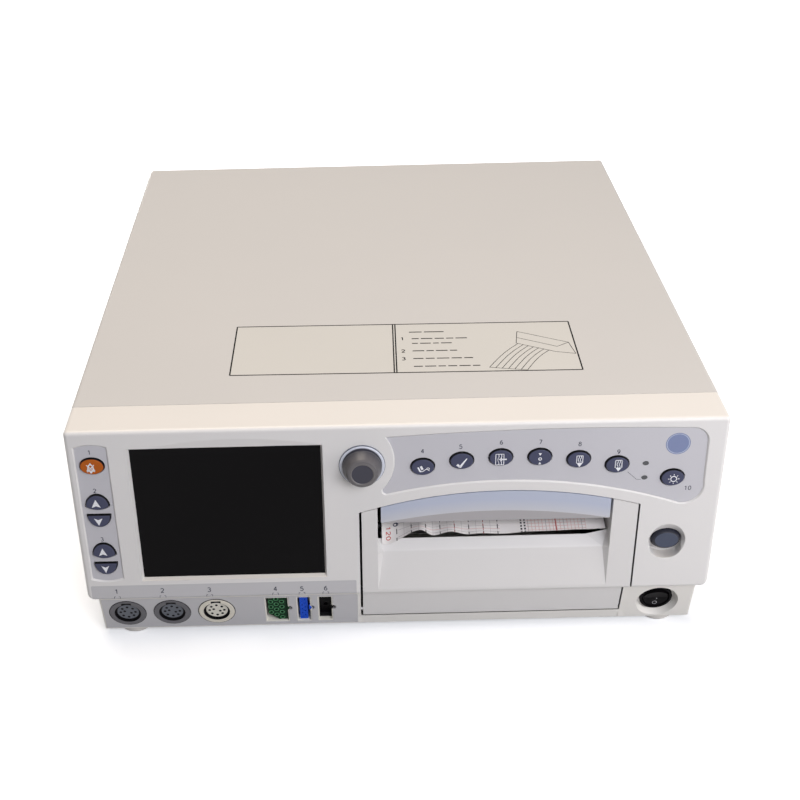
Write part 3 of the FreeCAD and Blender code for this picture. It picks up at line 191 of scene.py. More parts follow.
def floor_glow(tree):
    """Glow of the seen floor: weak close to the console, and stronger with distance."""
    place = node(tree, "TexCoord").outputs["Object"]
    away = node(tree, "VectorMath", place, GLOW_MIDDLE, operation="DISTANCE").outputs["Value"]
    rise = node(tree, "MapRange", Value=away, From_Min=GLOW_START, From_Max=GLOW_END,
                To_Min=GLOW_NEAR, To_Max=GLOW_FAR)
    return calculate(tree, "MULTIPLY", rise.outputs["Result"], seen_switch(tree, 0.0, 1.0))


def make_floor():
    """One large square under the console: white where it is seen, and greyer for bounced light."""
    mesh = bpy.data.meshes.new("floor")
    corners = [(FLOOR_HALF * x, FLOOR_HALF * y, 0) for x, y in ((-1, -1), (1, -1), (1, 1), (-1, 1))]
    mesh.from_pydata(corners, [], [(0, 1, 2, 3)])
    floor = bpy.data.objects.new("floor", mesh)
    scene.collection.objects.link(floor)
    paint = bpy.data.materials.new("floor_white")
    paint.use_nodes = True
    tree = paint.node_tree
    shader = tree.nodes["Principled BSDF"]
    tree.links.new(seen_switch(tree, FLOOR_BOUNCE, FLOOR_SEEN), shader.inputs["Base Color"])
    tree.links.new(floor_glow(tree), shader.inputs["Emission Strength"])
    shader.inputs["Emission Color"].default_value = GLOW_COLOUR
    shader.inputs["Roughness"].default_value = 0.9
    shader.inputs["Specular IOR Level"].default_value = 0.0
    mesh.materials.append(paint)


def make_sky():
    """An even sky, plain white where it is seen."""
    world = bpy.data.worlds.new("studio")
    world.use_nodes = True
    tree = world.node_tree
    sky = tree.nodes["Background"]
    tree.links.new(seen_switch(tree, SKY_LIGHT, SKY_SEEN), sky.inputs["Strength"])
    sky.inputs["Color"].default_value = SKY_COLOUR
    scene.world = world


make_floor()
make_sky()
print("floor of", 2 * FLOOR_HALF, "m and an even sky")

# %% [markdown]
# ## Camera
# The camera repeats the photograph's. It could be placed by eye, but its place, tilt and focal length come
# from matching known edges of the console to the picture, and the small shift puts the lens axis off
# centre.

# %% Camera
YAW, PITCH, ROLL = 0.00046999, 0.56788152, -0.02342652    # radians
CAMERA_AT = (-28.2608, -621.4322, 422.9648)               # mm from the middle of the lip, at the top's height
FOCAL_PIXELS, PICTURE_PIXELS = 1207.016, 800
SENSOR = 36.0
SHIFT_X, SHIFT_Y = 0.0601, -0.0017


def make_camera():
    """Yaw and pitch give right, up and forward, then a small roll turns right and up."""
    right = Vector((math.cos(YAW), -math.sin(YAW), 0))
    level = math.cos(PITCH)
    ahead = Vector((math.sin(YAW) * level, math.cos(YAW) * level, -math.sin(PITCH)))
    up = right.cross(ahead)
    x_axis = right * math.cos(ROLL) + up * math.sin(ROLL)
    y_axis = up * math.cos(ROLL) - right * math.sin(ROLL)
    lens = bpy.data.cameras.new("camera")
    lens.sensor_width = SENSOR
    lens.lens = FOCAL_PIXELS / PICTURE_PIXELS * SENSOR
    lens.shift_x = SHIFT_X
    lens.shift_y = SHIFT_Y
    camera = bpy.data.objects.new("camera", lens)
    place = (Vector(CAMERA_AT) + Vector((0, LIP_Y, TOP_Z))) / 1000
    turn = Matrix((x_axis, y_axis, -ahead)).transposed().to_4x4()
    camera.matrix_world = Matrix.Translation(place) @ turn
    scene.collection.objects.link(camera)
    scene.camera = camera
    print("lens of", round(lens.lens, 1), "mm")


make_camera()
scene.view_settings.view_transform = "Standard"

# %% [markdown]
# ## Grain
# What several finishes have in common is made once, as a node group, instead of being wired again in each
# material. The groups give out only colours, values and normals; each material keeps its own shader.
# "Grain" is what makes a moulding look moulded: a fine bump, and a slow drift in colour and gloss so that
# no wall is one flat tone. A scanned texture could give it, but two noise textures need no picture and
# never repeat.

# %% Grain
COLOUR, VALUE, VECTOR = "NodeSocketColor", "NodeSocketFloat", "NodeSocketVector"
DRIFT_SCALE = 14.0       # waves of the slow noise in a metre
GLOSS_DRIFT = 0.12       # how far it moves the roughness
BUMP_HEIGHT = 0.0001     # metres


def new_group(name, ins, outs):
    """A node group with the given sockets, what goes into it, and the node that takes its results."""
    tree = bpy.data.node_groups.new(name, "ShaderNodeTree")
    for sockets, way in ((ins, "INPUT"), (outs, "OUTPUT")):
        for socket, kind in sockets.items():
            tree.interface.new_socket(socket, in_out=way, socket_type=kind)
    return tree, tree.nodes.new("NodeGroupInput").outputs, tree.nodes.new("NodeGroupOutput")


def make_grain():
    """Colour x (1 + mottle x slow noise), roughness + noise, and a bump from fine noise."""
    ins = dict(Under=COLOUR, Roughness=VALUE, Scale=VALUE, Depth=VALUE, Mottle=VALUE)
    outs = dict(Colour=COLOUR, Roughness=VALUE, Normal=VECTOR)
    tree, given, result = new_group("Grain", ins, outs)
    place = node(tree, "TexCoord").outputs["Object"]
    fine = node(tree, "TexNoise", Vector=place, Scale=given["Scale"], Detail=2.0).outputs["Fac"]
    slow = node(tree, "TexNoise", Vector=place, Scale=DRIFT_SCALE, Detail=3.0).outputs["Fac"]
    drift = calculate(tree, "SUBTRACT", slow, 0.5)
    amount = calculate(tree, "MULTIPLY_ADD", drift, given["Mottle"], 1.0)
    tint = node(tree, "VectorMath", given["Under"], operation="SCALE", Scale=amount)
    rough = calculate(tree, "MULTIPLY_ADD", drift, GLOSS_DRIFT, given["Roughness"])
    bump = node(tree, "Bump", Height=fine, Strength=given["Depth"], Distance=BUMP_HEIGHT)
    tree.links.new(tint.outputs["Vector"], result.inputs["Colour"])
    tree.links.new(rough, result.inputs["Roughness"])
    tree.links.new(bump.outputs["Normal"], result.inputs["Normal"])
    return tree


GRAIN = make_grain()
print("group", GRAIN.name, "has", len(GRAIN.nodes), "nodes")

# %% [markdown]
# ## Patch and Facing
# "Patch" paints a rounded box of a second colour in place, in the part's own coordinates, which is how a
# film label looks when it is stuck flush on a moulding; here it paints light and shade as well. "Facing"
# gives a second colour to faces by the way they point, such as the painted shade on the sides of a key.
# Painting faces one by one would do the same, but a rule still holds when the mesh changes.

# %% Patch and Facing
CRISP = 0.2     # mm over which a patch's edge fades, unless it says otherwise


def mix_out(tree, factor, given, result):
    """Mix the group's Under and Over by a factor and give that out as its colour."""
    mix = tree.nodes.new("ShaderNodeMix")
    mix.data_type = "RGBA"
    tree.links.new(factor, mix.inputs["Factor"])
    tree.links.new(given["Under"], mix.inputs["A"])
    tree.links.new(given["Over"], mix.inputs["B"])
    tree.links.new(mix.outputs["Result"], result.inputs["Colour"])


def make_patch():
    """Mask of a rounded box: |p - centre| less the half size without its corners, against their radius."""
    ins = dict(Under=COLOUR, Over=COLOUR, Centre=VECTOR, Half=VECTOR, Radius=VALUE, Soft=VALUE)
    tree, given, result = new_group("Patch", ins, dict(Colour=COLOUR))
    place = node(tree, "TexCoord").outputs["Object"]
    away = vector_step(tree, "ABSOLUTE", vector_step(tree, "SUBTRACT", place, given["Centre"]))
    beyond = vector_step(tree, "MAXIMUM", vector_step(tree, "SUBTRACT", away, given["Half"]))
    reach = node(tree, "VectorMath", beyond, operation="LENGTH").outputs["Value"]
    edge = calculate(tree, "ADD", given["Radius"], given["Soft"])
    inside = node(tree, "MapRange", Value=reach, From_Min=given["Radius"], From_Max=edge,
                  To_Min=1.0, To_Max=0.0)
    mix_out(tree, inside.outputs["Result"], given, result)
    return tree


def make_facing():
    """Two colours mixed by the dot product of the normal with a direction, faded between two values."""
    ins = dict(Under=COLOUR, Over=COLOUR, Direction=VECTOR, Begin=VALUE, End=VALUE)
    tree, given, result = new_group("Facing", ins, dict(Colour=COLOUR))
    normal = node(tree, "TexCoord").outputs["Normal"]
    dot = node(tree, "VectorMath", normal, given["Direction"], operation="DOT_PRODUCT").outputs["Value"]
    fade = node(tree, "MapRange", Value=dot, From_Min=given["Begin"], From_Max=given["End"])
    mix_out(tree, fade.outputs["Result"], given, result)
    return tree


PATCH = make_patch()
FACING = make_facing()
print("groups", PATCH.name, "and", FACING.name)

# %% [markdown]
# ## Finishes
# One helper builds every material: a colour, any patches painted over it, the faces that point a certain
# way, then grain, then the Principled shader. A call gives the name, the colour as it would be read off a
# screen (0 to 255), the roughness, then the grain: how fine it is, how deep, and how far the colour drifts.
# Each material could be built by hand in the node editor, but then nobody could see at a glance how two
# finishes differ.

# %% Finish helper


def linear(*rgb):
    """Screen colour (0 to 255) to linear light, by the usual 2.4 power curve with its straight toe."""
    c = np.array(rgb, float) / 255
    light = np.where(c <= 0.04045, c / 12.92, ((c + 0.055) / 1.055) ** 2.4)
    return (*light.tolist(), 1.0)


def layer(tree, group, **values):
    """A node group laid over what is under it, with its inputs filled."""
    made = tree.nodes.new("ShaderNodeGroup")
    made.node_tree = group
    for name, value in values.items():
        fill(tree, made.inputs[name], value)
    return made


def finish(name, colour, rough, scale, depth, mottle, patches=(), facing=None, **shader_values):
    """A material: colour, patches over it, the turned faces, grain, then Principled.

    A patch is (colour, centre, half size, radius) in mm, and how far its edge fades if it isn't crisp.
    Facing is (colour, direction, begin, end)."""
    material = bpy.data.materials.new(name)
    material.use_nodes = True
    tree = material.node_tree
    shader = tree.nodes["Principled BSDF"]
    last = linear(*colour)
    for over, centre, half, radius, *fade in patches:
        patch = layer(tree, PATCH, Under=last, Over=linear(*over), Centre=[c / 1000 for c in centre],
                      Half=[(h - radius) / 1000 for h in half], Radius=radius / 1000,
                      Soft=(fade[0] if fade else CRISP) / 1000)
        last = patch.outputs["Colour"]
    if facing:
        over, direction, begin, end = facing
        turned = layer(tree, FACING, Under=last, Over=linear(*over), Direction=direction, Begin=begin,
                       End=end)
        last = turned.outputs["Colour"]
    grain = layer(tree, GRAIN, Under=last, Roughness=rough, Scale=scale, Depth=depth, Mottle=mottle)
    tree.links.new(grain.outputs["Colour"], shader.inputs["Base Color"])
    for socket in ("Roughness", "Normal"):
        tree.links.new(grain.outputs[socket], shader.inputs[socket])
    for socket, value in shader_values.items():
        shader.inputs[socket.replace("_", " ")].default_value = value
    return material


def dress(material, *names):
    """Give CAD nodes a material in place of the plain one they came with."""
    for name in names:
        mesh = nodes[name].data
        mesh.materials.clear()
        mesh.materials.append(material)
    print(material.name, "on", ", ".join(names))

# %% [markdown]
# ## Casing
# The wrap cover is painted sheet: a grey with a fine orange-peel bump. The front mouldings are satin
# plastic, lighter and a little creamier. The fascia's faces that look up are painted warmer, as painted
# warm light from the lamp overhead, on a plastic of one colour. Their grey films are patches: the strip along
# the lip, and the panel round the sockets. Thin separate sheets would do as well, but a patch can't float off
# its moulding or sink in. Thin patches also paint shade on the walls of the seams round the door, where
# little light gets in.

# %% Casing finishes
FAR = 5000.0                     # a patch this deep goes right through
UPWARD = (0.0, 0.0, 1.0)
FILM_GREY = (202, 201, 204)
SEAM_SHADE = (24, 24, 26)
SATIN = (2600.0, 0.05, 0.03)     # the grain of a satin moulding
lip_film = (FILM_GREY, (-117.7, LIP_Y, 45.6), (89.8, FAR, 5.7), 0.8)
socket_film = (FILM_GREY, (-115.3, LIP_Y, 21.0), (88.0, FAR, 15.0), 1.0)
# Painted shade: the walls of the gaps round the door and its apron are painted dark.
door_seam_shade = (SEAM_SHADE, (159.1, LIP_Y, 71.6), (0.1, FAR, 35.7), 0.05)
apron_side_shade = (SEAM_SHADE, (154.8, LIP_Y, 26.6), (0.1, FAR, 13.4), 0.05)
apron_foot_shade = (SEAM_SHADE, (64.8, LIP_Y, 13.2), (90.0, FAR, 0.12), 0.05)
# Painted warm light: the fascia's upward faces are painted warmer, though the plastic is one colour.
painted_warm_light_top = ((232, 227, 221), UPWARD, 0.75, 0.97)

dress(finish("cover_paint", (206, 203, 200), 0.42, 1400.0, 0.10, 0.035), "top_cover")
dress(finish("rear_paint", (206, 204, 202), 0.45, 1400.0, 0.10, 0.03), "rear_panel")
dress(finish("fascia_plastic", (234, 232, 231), 0.38, *SATIN, [lip_film, door_seam_shade], painted_warm_light_top),
      "front_fascia")
dress(finish("panel_plastic", (240, 237, 232), 0.40, *SATIN, [socket_film, apron_side_shade, apron_foot_shade]),
      "lower_front_panel")
dress(finish("door_plastic", (230, 228, 227), 0.40, *SATIN), "recorder_door")
dress(finish("film_grey", (204, 203, 209), 0.34, 3200.0, 0.02, 0.02), "key_strip", "function_panel")
dress(finish("grey_rubber", (223, 219, 214), 0.75, 900.0, 0.2, 0.06), "rubber_feet")
dress(finish("black_rubber", (38, 37, 38), 0.75, 900.0, 0.2, 0.08), "platen_roller")
screw_steel = finish("screw_steel", (190, 190, 192), 0.32, 4000.0, 0.05, 0.05, Metallic=1.0)
dress(screw_steel, "case_screws", "foot_screws", "hinge_pins", "knob_shaft")
dress(finish("blackened_steel", (46, 46, 48), 0.4, 4000.0, 0.05, 0.05, Metallic=0.7), "platen_shaft")

# %% [markdown]
# ## Bar over the paper
# The bar is blue-grey plastic all over. Its lower bevel is painted a plain grey, a painted reflection of the
# white paper and door below. The bevel is the only face in sight that looks downwards, so "Facing" with the
# upward direction tells the two apart, and no mask has to be drawn. Towards the bevel the front is painted
# paler, a painted highlight where the edge rounds: a patch as round as the bevel's own arc, with an edge
# that fades over some millimetres.

# %% Bar finish
BEVEL_RADIUS, BEVEL_CENTRE = 365.0, (64.55, -299.9)
BEVEL_FADE = 9.0
# Painted highlight: the bar's front grows paler towards its rounded lower edge.
painted_edge_highlight = ((204, 205, 212), on_fascia(*BEVEL_CENTRE, 0.0) * 1000, (BEVEL_RADIUS,) * 3, BEVEL_RADIUS - 0.5,
         BEVEL_FADE)
# Painted reflection: the down-facing bevel is painted grey, though the plastic is the same blue-grey.
painted_bevel_reflection = ((180, 177, 180), UPWARD, 0.0, -0.08)
dress(finish("bar_blue_grey", (188, 195, 214), 0.36, 2600.0, 0.04, 0.03, [painted_edge_highlight], painted_bevel_reflection), "recorder_bar")

# %% [markdown]
# ## Keys and window
# Keys are satin elastomer, slate blue but for the orange alarm key. Their sides are painted black as shade,
# for the dark gap round each key. Each side could be given a material of its own, but "Facing" darkens
# whatever turns away from the fascia's own direction, for all the keys at once. The window is polished black
# with very little reflection, as coated panels have.

# %% Key and window finishes
OUTWARD = (0.0, -math.cos(LEAN), math.sin(LEAN))
# Painted shade: the key sides are black, for the dark gap round each key.
KEY_SIDE_SHADE = ((11, 11, 14), OUTWARD, 0.85, 0.5)
slate = finish("key_slate", (71, 74, 98), 0.42, 2200.0, 0.05, 0.06, (), KEY_SIDE_SHADE, Specular_IOR_Level=0.2)
orange = finish("key_orange", (187, 94, 20), 0.42, 2200.0, 0.05, 0.05, (), KEY_SIDE_SHADE, Specular_IOR_Level=0.2)
slate_keys = [n for n in nodes if n.endswith("_key") and n != "alarm_key"]
dress(slate, *slate_keys, *["function_key_%d" % i for i in range(1, 7)])
dress(orange, "alarm_key")
dress(finish("screen_black", (11, 10, 12), 0.16, 300.0, 0.0, 0.05, Specular_IOR_Level=0.05), "display_window")

# %% [markdown]
# ## Knob, latch and lamps
# The knob is smoked plastic with a dark nose, and a painted sheen makes it paler near the nose. It sits in a
# pale ring with a dark rim; the dark well inside the ring is painted shade, where the knob shades the collar.
# The rings could be cut out as faces of the mesh; here round patches on the knob's axis, one over the other,
# make them, and their radii can be changed without touching the model. The latch's flanks are painted
# darker than its face, as painted shade.

# %% Knob, latch and lamp finishes
KNOB = (-22.5, 102.3)


def ball(colour, w, radius, *fade, rise=0.0):
    """A round patch on the knob's axis, or a little above it, at a height off the fascia."""
    return (colour, on_fascia(KNOB[0], KNOB[1] + rise, w) * 1000, (radius, radius, radius), radius, *fade)


# Painted highlight: a paler sheen on the knob near its nose.
painted_sheen = ball((110, 107, 108), 7.5, 8.5, 4.0)
nose = ball((55, 55, 67), 11.4, 6.7)
pale_ring = ball((222, 226, 238), 0.0, 14.45)
# Painted shade: the collar is dark inside its ring, where the knob shades it.
painted_well_shade = ball((84, 84, 94), 0.0, 12.8, rise=0.55)
# Painted shade: the latch's flanks are darker than its face, as they turn from the light.
latch_flank_shade = ((36, 38, 50), OUTWARD, 0.985, 0.88)
dress(finish("knob_smoke", (72, 71, 77), 0.3, 1800.0, 0.03, 0.05, [painted_sheen, nose], Specular_IOR_Level=0.3),
      "knob")
dress(finish("collar_grey", (84, 90, 106), 0.36, 2600.0, 0.04, 0.03, [pale_ring, painted_well_shade]), "knob_collar")
dress(finish("latch_slate", (66, 73, 92), 0.38, 2200.0, 0.04, 0.05, (), latch_flank_shade, Specular_IOR_Level=0.3),
      "latch_button")
dress(finish("lamp_lens", (74, 76, 80), 0.2, 2200.0, 0.02, 0.05), "lamp_lenses")

# %% [markdown]
# ## Connectors
# Two of the round sockets are grey and the third is cream. All three rings are one piece, and so are the
# inserts, so a patch round the third changes its colour. "Facing" paints shade black on the walls of each
# well, which turn away from the panel's own direction and get little light. The rectangular sockets have
# cream liners and coloured contact blocks; the third liner is dark inside. The round switch is plain black.

# %% Connector finishes
ROUND_SOCKETS, SOCKET_V = (-186.7, -155.9, -125.0), -14.6
LOWER_OUT = (0.0, -math.cos(UNDERCUT), -math.sin(UNDERCUT))
# Painted shade: the walls of each socket's well are painted black.
SOCKET_WALL_SHADE = ((15, 15, 17), LOWER_OUT, 0.7, 0.4)
third = (on_lower(ROUND_SOCKETS[2], SOCKET_V, -3.0) * 1000, (15.0, 15.0, 18.0), 2.0)
cream_ring = ((238, 232, 218), *third)
cream_insert = ((240, 236, 224), *third)
dark_liner = ((30, 30, 32), (-49.7, LIP_Y + 15.65, 21.0), (4.7, 4.0, 14.0), 0.5)
dress(finish("socket_grey", (107, 106, 110), 0.42, 2400.0, 0.05, 0.05, [cream_ring], SOCKET_WALL_SHADE,
             Specular_IOR_Level=0.25), "socket_rings")
dress(finish("insert_grey", (106, 110, 118), 0.42, 2400.0, 0.05, 0.05, [cream_insert], SOCKET_WALL_SHADE,
             Specular_IOR_Level=0.25), "socket_inserts")
dress(finish("liner_cream", (240, 237, 228), 0.42, 2400.0, 0.05, 0.04, [dark_liner]), "socket_liners")
green_plastic = finish("green_block", (8, 50, 26), 0.34, 2400.0, 0.04, 0.06, Specular_IOR_Level=0.06)
blue_plastic = finish("blue_block", (34, 86, 214), 0.34, 2400.0, 0.04, 0.06, Specular_IOR_Level=0.08)
black_plastic = finish("black_plastic", (14, 13, 15), 0.36, 2400.0, 0.05, 0.08, Specular_IOR_Level=0.04)
dress(green_plastic, "green_pin_block")
dress(blue_plastic, "blue_pin_block")
dress(black_plastic, "black_pin_block", "switch_body", "power_rocker", "mains_inlet", "encoder",
      "dome_switches", "loudspeaker", "cuff_pump")

# %% [markdown]
# ## Inside
# With the door open the recorder shows: zinc-plated frame, print head, gears and paper. The boards are
# behind it. The same helper serves, with Metallic raised for the metals, because a metal's colour lies in
# its reflection.

# %% Inner finishes
dress(finish("zinc_sheet", (176, 178, 182), 0.38, 600.0, 0.06, 0.10, Metallic=0.9), "recorder_frame",
      "base_chassis", "display_module", "motor", "rear_ports")
dress(finish("head_metal", (120, 122, 126), 0.4, 900.0, 0.05, 0.06, Metallic=0.8), "print_head")
dress(finish("gear_acetal", (226, 224, 214), 0.4, 2400.0, 0.04, 0.04), "platen_gear")
dress(finish("brass", (206, 172, 98), 0.3, 2400.0, 0.05, 0.06, Metallic=1.0), "motor_pinion", "earth_stud")
dress(finish("board_green", (34, 92, 56), 0.45, 500.0, 0.1, 0.25), "main_board", "power_supply",
      "switch_boards")
dress(finish("paper_edge", (236, 231, 222), 0.8, 700.0, 0.2, 0.05), "paper_pack")

# %% [markdown]
# ## Drawing with ribbons
# Every print is built from two kinds of flat patch. A ribbon follows a path and has a width, like a pen
# stroke; a sheet spans two edges with the same number of points, which fills a shape. Curve objects could
# draw the strokes, but these are small grids of points, so one helper can lay any number of them on a
# drawing board and join them.

# %% Pen and sheet


def ribbon(path, width):
    """A stroke: each point of the path is pushed to both sides, along its normal, by half the width there."""
    path = np.asarray(path, float)
    along = np.gradient(path, axis=0)
    along /= np.linalg.norm(along, axis=1, keepdims=True)
    side = np.stack([-along[:, 1], along[:, 0]], axis=1) * np.broadcast_to(width, len(path))[:, None] / 2
    return np.stack([path + side, path - side])


def strokes(corners, width):
    """Straight strokes from corner to corner."""
    return [ribbon(pair, width) for pair in zip(corners[:-1], corners[1:])]


def sheet(edge, other):
    """A filled shape: the straight lines between two edges of equally many points."""
    return np.stack([np.asarray(edge, float), np.asarray(other, float)])


def arc(u, v, wide, high, start, end, count=24):
    """Points along part of an ellipse, angles in degrees from the right."""
    angle = np.radians(np.linspace(start, end, count))
    return np.stack([u + wide * np.cos(angle), v + high * np.sin(angle)], axis=1)


def ring(u, v, radius, pen, count=24):
    """A whole circle drawn with a pen."""
    return ribbon(arc(u, v, radius, radius, 0, 360, count), pen)


def disc(u, v, radius):
    """A filled circle: the sheet between its upper and lower halves."""
    return sheet(arc(u, v, radius, radius, 180, 0), arc(u, v, radius, radius, 180, 360))


def shift(grids, u, v):
    """The same grids, moved across and up."""
    return [g + (u, v) for g in grids]


print("pen and sheet ready")

# %% [markdown]
# ## From drawing to mesh
# The drawing board turns a flat grid's points into the part's frame, and the numbers of neighbouring points
# give the faces. Each piece then rides on a body and takes its finish from a slot. Decal textures could
# print the same, but meshes stay sharp at any distance. Three inks serve most of the prints.

# %% Pieces and inks


def quads(rows, columns, start):
    """Corner numbers of every cell in a grid whose points are numbered row by row."""
    index = np.arange(rows * columns).reshape(rows, columns) + start
    return np.stack([index[:-1, :-1], index[1:, :-1], index[1:, 1:], index[:-1, 1:]], axis=-1).reshape(-1, 4)


def add_piece(name, points, faces, material, body):
    """A mesh object in the part's frame, which rides on a body and takes its finish from a slot."""
    mesh = bpy.data.meshes.new(name)
    mesh.from_pydata(points.tolist(), [], faces.tolist())
    mesh.materials.append(material)
    piece = bpy.data.objects.new(name, mesh)
    scene.collection.objects.link(piece)
    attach(piece, body)
    return piece


def print_on(name, board, w, grids, material, body):
    """Lay flat grids on a drawing board at one height and join them."""
    points, faces, start = [], [], 0
    for grid in grids:
        rows, columns = grid.shape[:2]
        points.append(board(grid[..., 0], grid[..., 1], w).reshape(-1, 3))
        faces.append(quads(rows, columns, start))
        start += rows * columns
    add_piece(name, np.concatenate(points), np.concatenate(faces), material, body)
    print(name, len(grids), "grids on", body)


white_ink = finish("white_ink", (246, 247, 252), 0.45, 3000.0, 0.02, 0.02)
grey_ink = finish("grey_ink", (82, 84, 98), 0.5, 3000.0, 0.02, 0.04, Specular_IOR_Level=0.1)
black_ink = finish("black_ink", (20, 19, 21), 0.5, 3000.0, 0.02, 0.04, Specular_IOR_Level=0.05)

# %% [markdown]
# ## Digits
# Each digit is a few pen strokes in a box 0.6 wide and 1 high: straight ones for 1, 4 and 7, and arcs of
# ellipses for the round parts. A text object could do it too, but strokes keep the mesh small.

# %% Digits
DIGIT_WIDE, DIGIT_STEP = 0.6, 0.82     # a digit's width, and the step to the next, in digit heights


def digit(number):
    """Paths of one digit."""
    return {
        0: [arc(0.3, 0.5, 0.26, 0.48, 0, 360)],
        1: [((0.1, 0.76), (0.34, 0.98)), ((0.34, 0.98), (0.34, 0.02))],
        2: [arc(0.3, 0.72, 0.26, 0.26, 165, -35), ((0.51, 0.57), (0.05, 0.04)), ((0.03, 0.04), (0.57, 0.04))],
        3: [arc(0.28, 0.74, 0.23, 0.23, 150, -90), arc(0.28, 0.27, 0.27, 0.25, 90, -150)],
        4: [((0.44, 0.02), (0.44, 0.98)), ((0.44, 0.98), (0.03, 0.3)), ((0.03, 0.3), (0.6, 0.3))],
        5: [((0.52, 0.96), (0.12, 0.96)), ((0.12, 0.96), (0.08, 0.54)),
            arc(0.28, 0.32, 0.28, 0.3, 135, -150)],
        6: [arc(0.3, 0.3, 0.25, 0.28, 0, 360), arc(0.56, 0.34, 0.51, 0.62, 100, 180)],
        7: [((0.04, 0.96), (0.57, 0.96)), ((0.57, 0.96), (0.22, 0.02))],
        8: [arc(0.3, 0.75, 0.21, 0.21, 0, 360), arc(0.3, 0.28, 0.26, 0.26, 0, 360)],
        9: [arc(0.3, 0.7, 0.25, 0.28, 0, 360), arc(0.04, 0.66, 0.51, 0.62, 0, -80)],
    }[number]


def number_at(number, u, v, height, pen):
    """A whole number centred on (u, v): its digits side by side, each stroke a ribbon."""
    digits = [int(d) for d in str(number)]
    left = -(DIGIT_STEP * (len(digits) - 1) + DIGIT_WIDE) / 2
    grids = []
    for place, d in enumerate(digits):
        move = (left + DIGIT_STEP * place, -0.5)
        grids += [ribbon((np.asarray(path, float) + move) * height + (u, v), pen) for path in digit(d)]
    return grids


print("ten digits in", sum(len(digit(d)) for d in range(10)), "strokes")

# %% [markdown]
# ## Key numbers
# Plain numbers label the keys, and a thin pointer leads to one of the lamps. They are on the film, not on
# the keys, so they ride on the case and stay put when a key is pressed.

# %% Key numbers
KEY_NUMBER, KEY_PEN = 3.1, 0.5
number_places = [(-195.8, 116.0), (-195.8, 87.0), (-195.5, 49.0), (16.2, 111.2), (40.6, 113.9), (66.4, 116.4),
                 (91.4, 116.0), (116.6, 113.8), (141.8, 107.2), (189.0, 78.6)]
key_numbers = []
for i, (u, v) in enumerate(number_places, 1):
    key_numbers += number_at(i, u, v, KEY_NUMBER, KEY_PEN)
print_on("key_numbers", on_fascia, FILM + INK, key_numbers, grey_ink, "case")
pointer = strokes([(148.8, 92.0), (154.9, 86.15), (157.8, 85.95)], 0.28)
print_on("lamp_pointer", on_fascia, FILM + INK, pointer, grey_ink, "case")

# %% [markdown]
# ## Badge
# A plain blue disc with a paler rim, printed on the function panel: a full disc first, then a thin ring a
# hair further out, so that the two never share a plane.

# %% Badge disc
BADGE = (179.3, 112.3)
badge_blue = finish("badge_blue", (122, 134, 172), 0.36, 3000.0, 0.02, 0.03)
badge_rim = finish("badge_rim", (184, 192, 214), 0.36, 3000.0, 0.02, 0.03)
rim = ring(*BADGE, 7.1, 0.45, 64)
print_on("badge_disc", on_fascia, FILM + INK, [disc(*BADGE, 7.9)], badge_blue, "case")
print_on("badge_rim", on_fascia, FILM + 2 * INK, [rim], badge_rim, "case")

# %% [markdown]
# ## Alarm and volume symbols
# Each key carries a white symbol of the common kind, and the symbol moves with its key. Engraving it in the
# model would cost many faces; a print doesn't. The bell is drawn about its own middle and then shifted to
# its key.

# %% Alarm and volume symbols
ALARM_KEY = (-195.9, 105.6)


def bell():
    """A bell crossed out: two flared sides, a brim, a clapper, and two thin crossing strokes."""
    left = np.array([(-2.5, -2.4), (-1.7, -1.2), (-1.5, 0.6), (-0.9, 1.9), (0.0, 2.3)])
    right = left[::-1] * (-1, 1)
    brim = ribbon([(-2.6, -2.5), (2.6, -2.5)], 0.9)
    cross = [ribbon([(-2.6, 2.0), (2.4, -3.2)], 0.6), ribbon([(2.4, 2.0), (-2.4, -3.2)], 0.6)]
    return [ribbon(left, 0.9), ribbon(right, 0.9), brim, disc(0.0, -3.5, 0.75), disc(0.0, 2.9, 0.5)] + cross


def arrowhead(u, tip, base, notch, half):
    """An arrowhead with a hollow base: the sheet between its tip and its three corners, upper edge first."""
    fine = 0.04
    edges = [[(u - fine, tip), (u, tip), (u + fine, tip)], [(u - half, base), (u, notch), (u + half, base)]]
    return [sheet(*sorted(edges, key=lambda edge: -edge[0][1]))]


def key_print(name, grids, key):
    """A white print on a key's cap."""
    print_on(name, on_fascia, KEY_TOP + INK, grids, white_ink, key)


key_print("alarm_symbol", shift(bell(), *ALARM_KEY), "alarm_key")
# Key, then its arrowhead: place across, tip, base, notch and half width
arrows = [("volume_1_raise_key", -195.9, 81.1, 75.0, 76.2, 3.0),
          ("volume_1_lower_key", -195.7, 61.1, 66.6, 65.4, 2.8),
          ("volume_2_raise_key", -195.9, 42.6, 36.7, 37.9, 2.8),
          ("volume_2_lower_key", -195.6, 22.8, 28.4, 27.1, 2.6)]
for key, *shape in arrows:
    key_print(key.replace("key", "arrow"), arrowhead(*shape), key)

# %% [markdown]
# ## Function key symbols
# The seven oval keys have pictures of what they do: a cuff, a tick, chart strips and a lamp. Each is a
# handful of ribbons and sheets, so one small function per picture keeps its shape easy to read and to
# change.

# %% Function key symbols


def cuff():
    """An arm cuff and its tube: two slanted bars and one joining them, and a wave that ends in a loop."""
    tube = np.stack([np.linspace(-0.6, 4.2, 24), -2.2 + 0.9 * np.sin(np.linspace(-1.6, 3.4, 24))], axis=1)
    return [ribbon([(-3.1, 0.2), (-1.5, -3.2)], 1.0), ribbon([(-1.3, 1.0), (-0.1, -1.6)], 1.5),
            ribbon([(-1.6, -3.1), (-0.2, -2.9)], 0.7), ribbon(tube, 0.5),
            ribbon(arc(3.4, -0.9, 0.9, 0.6, -60, 180), 0.45)]


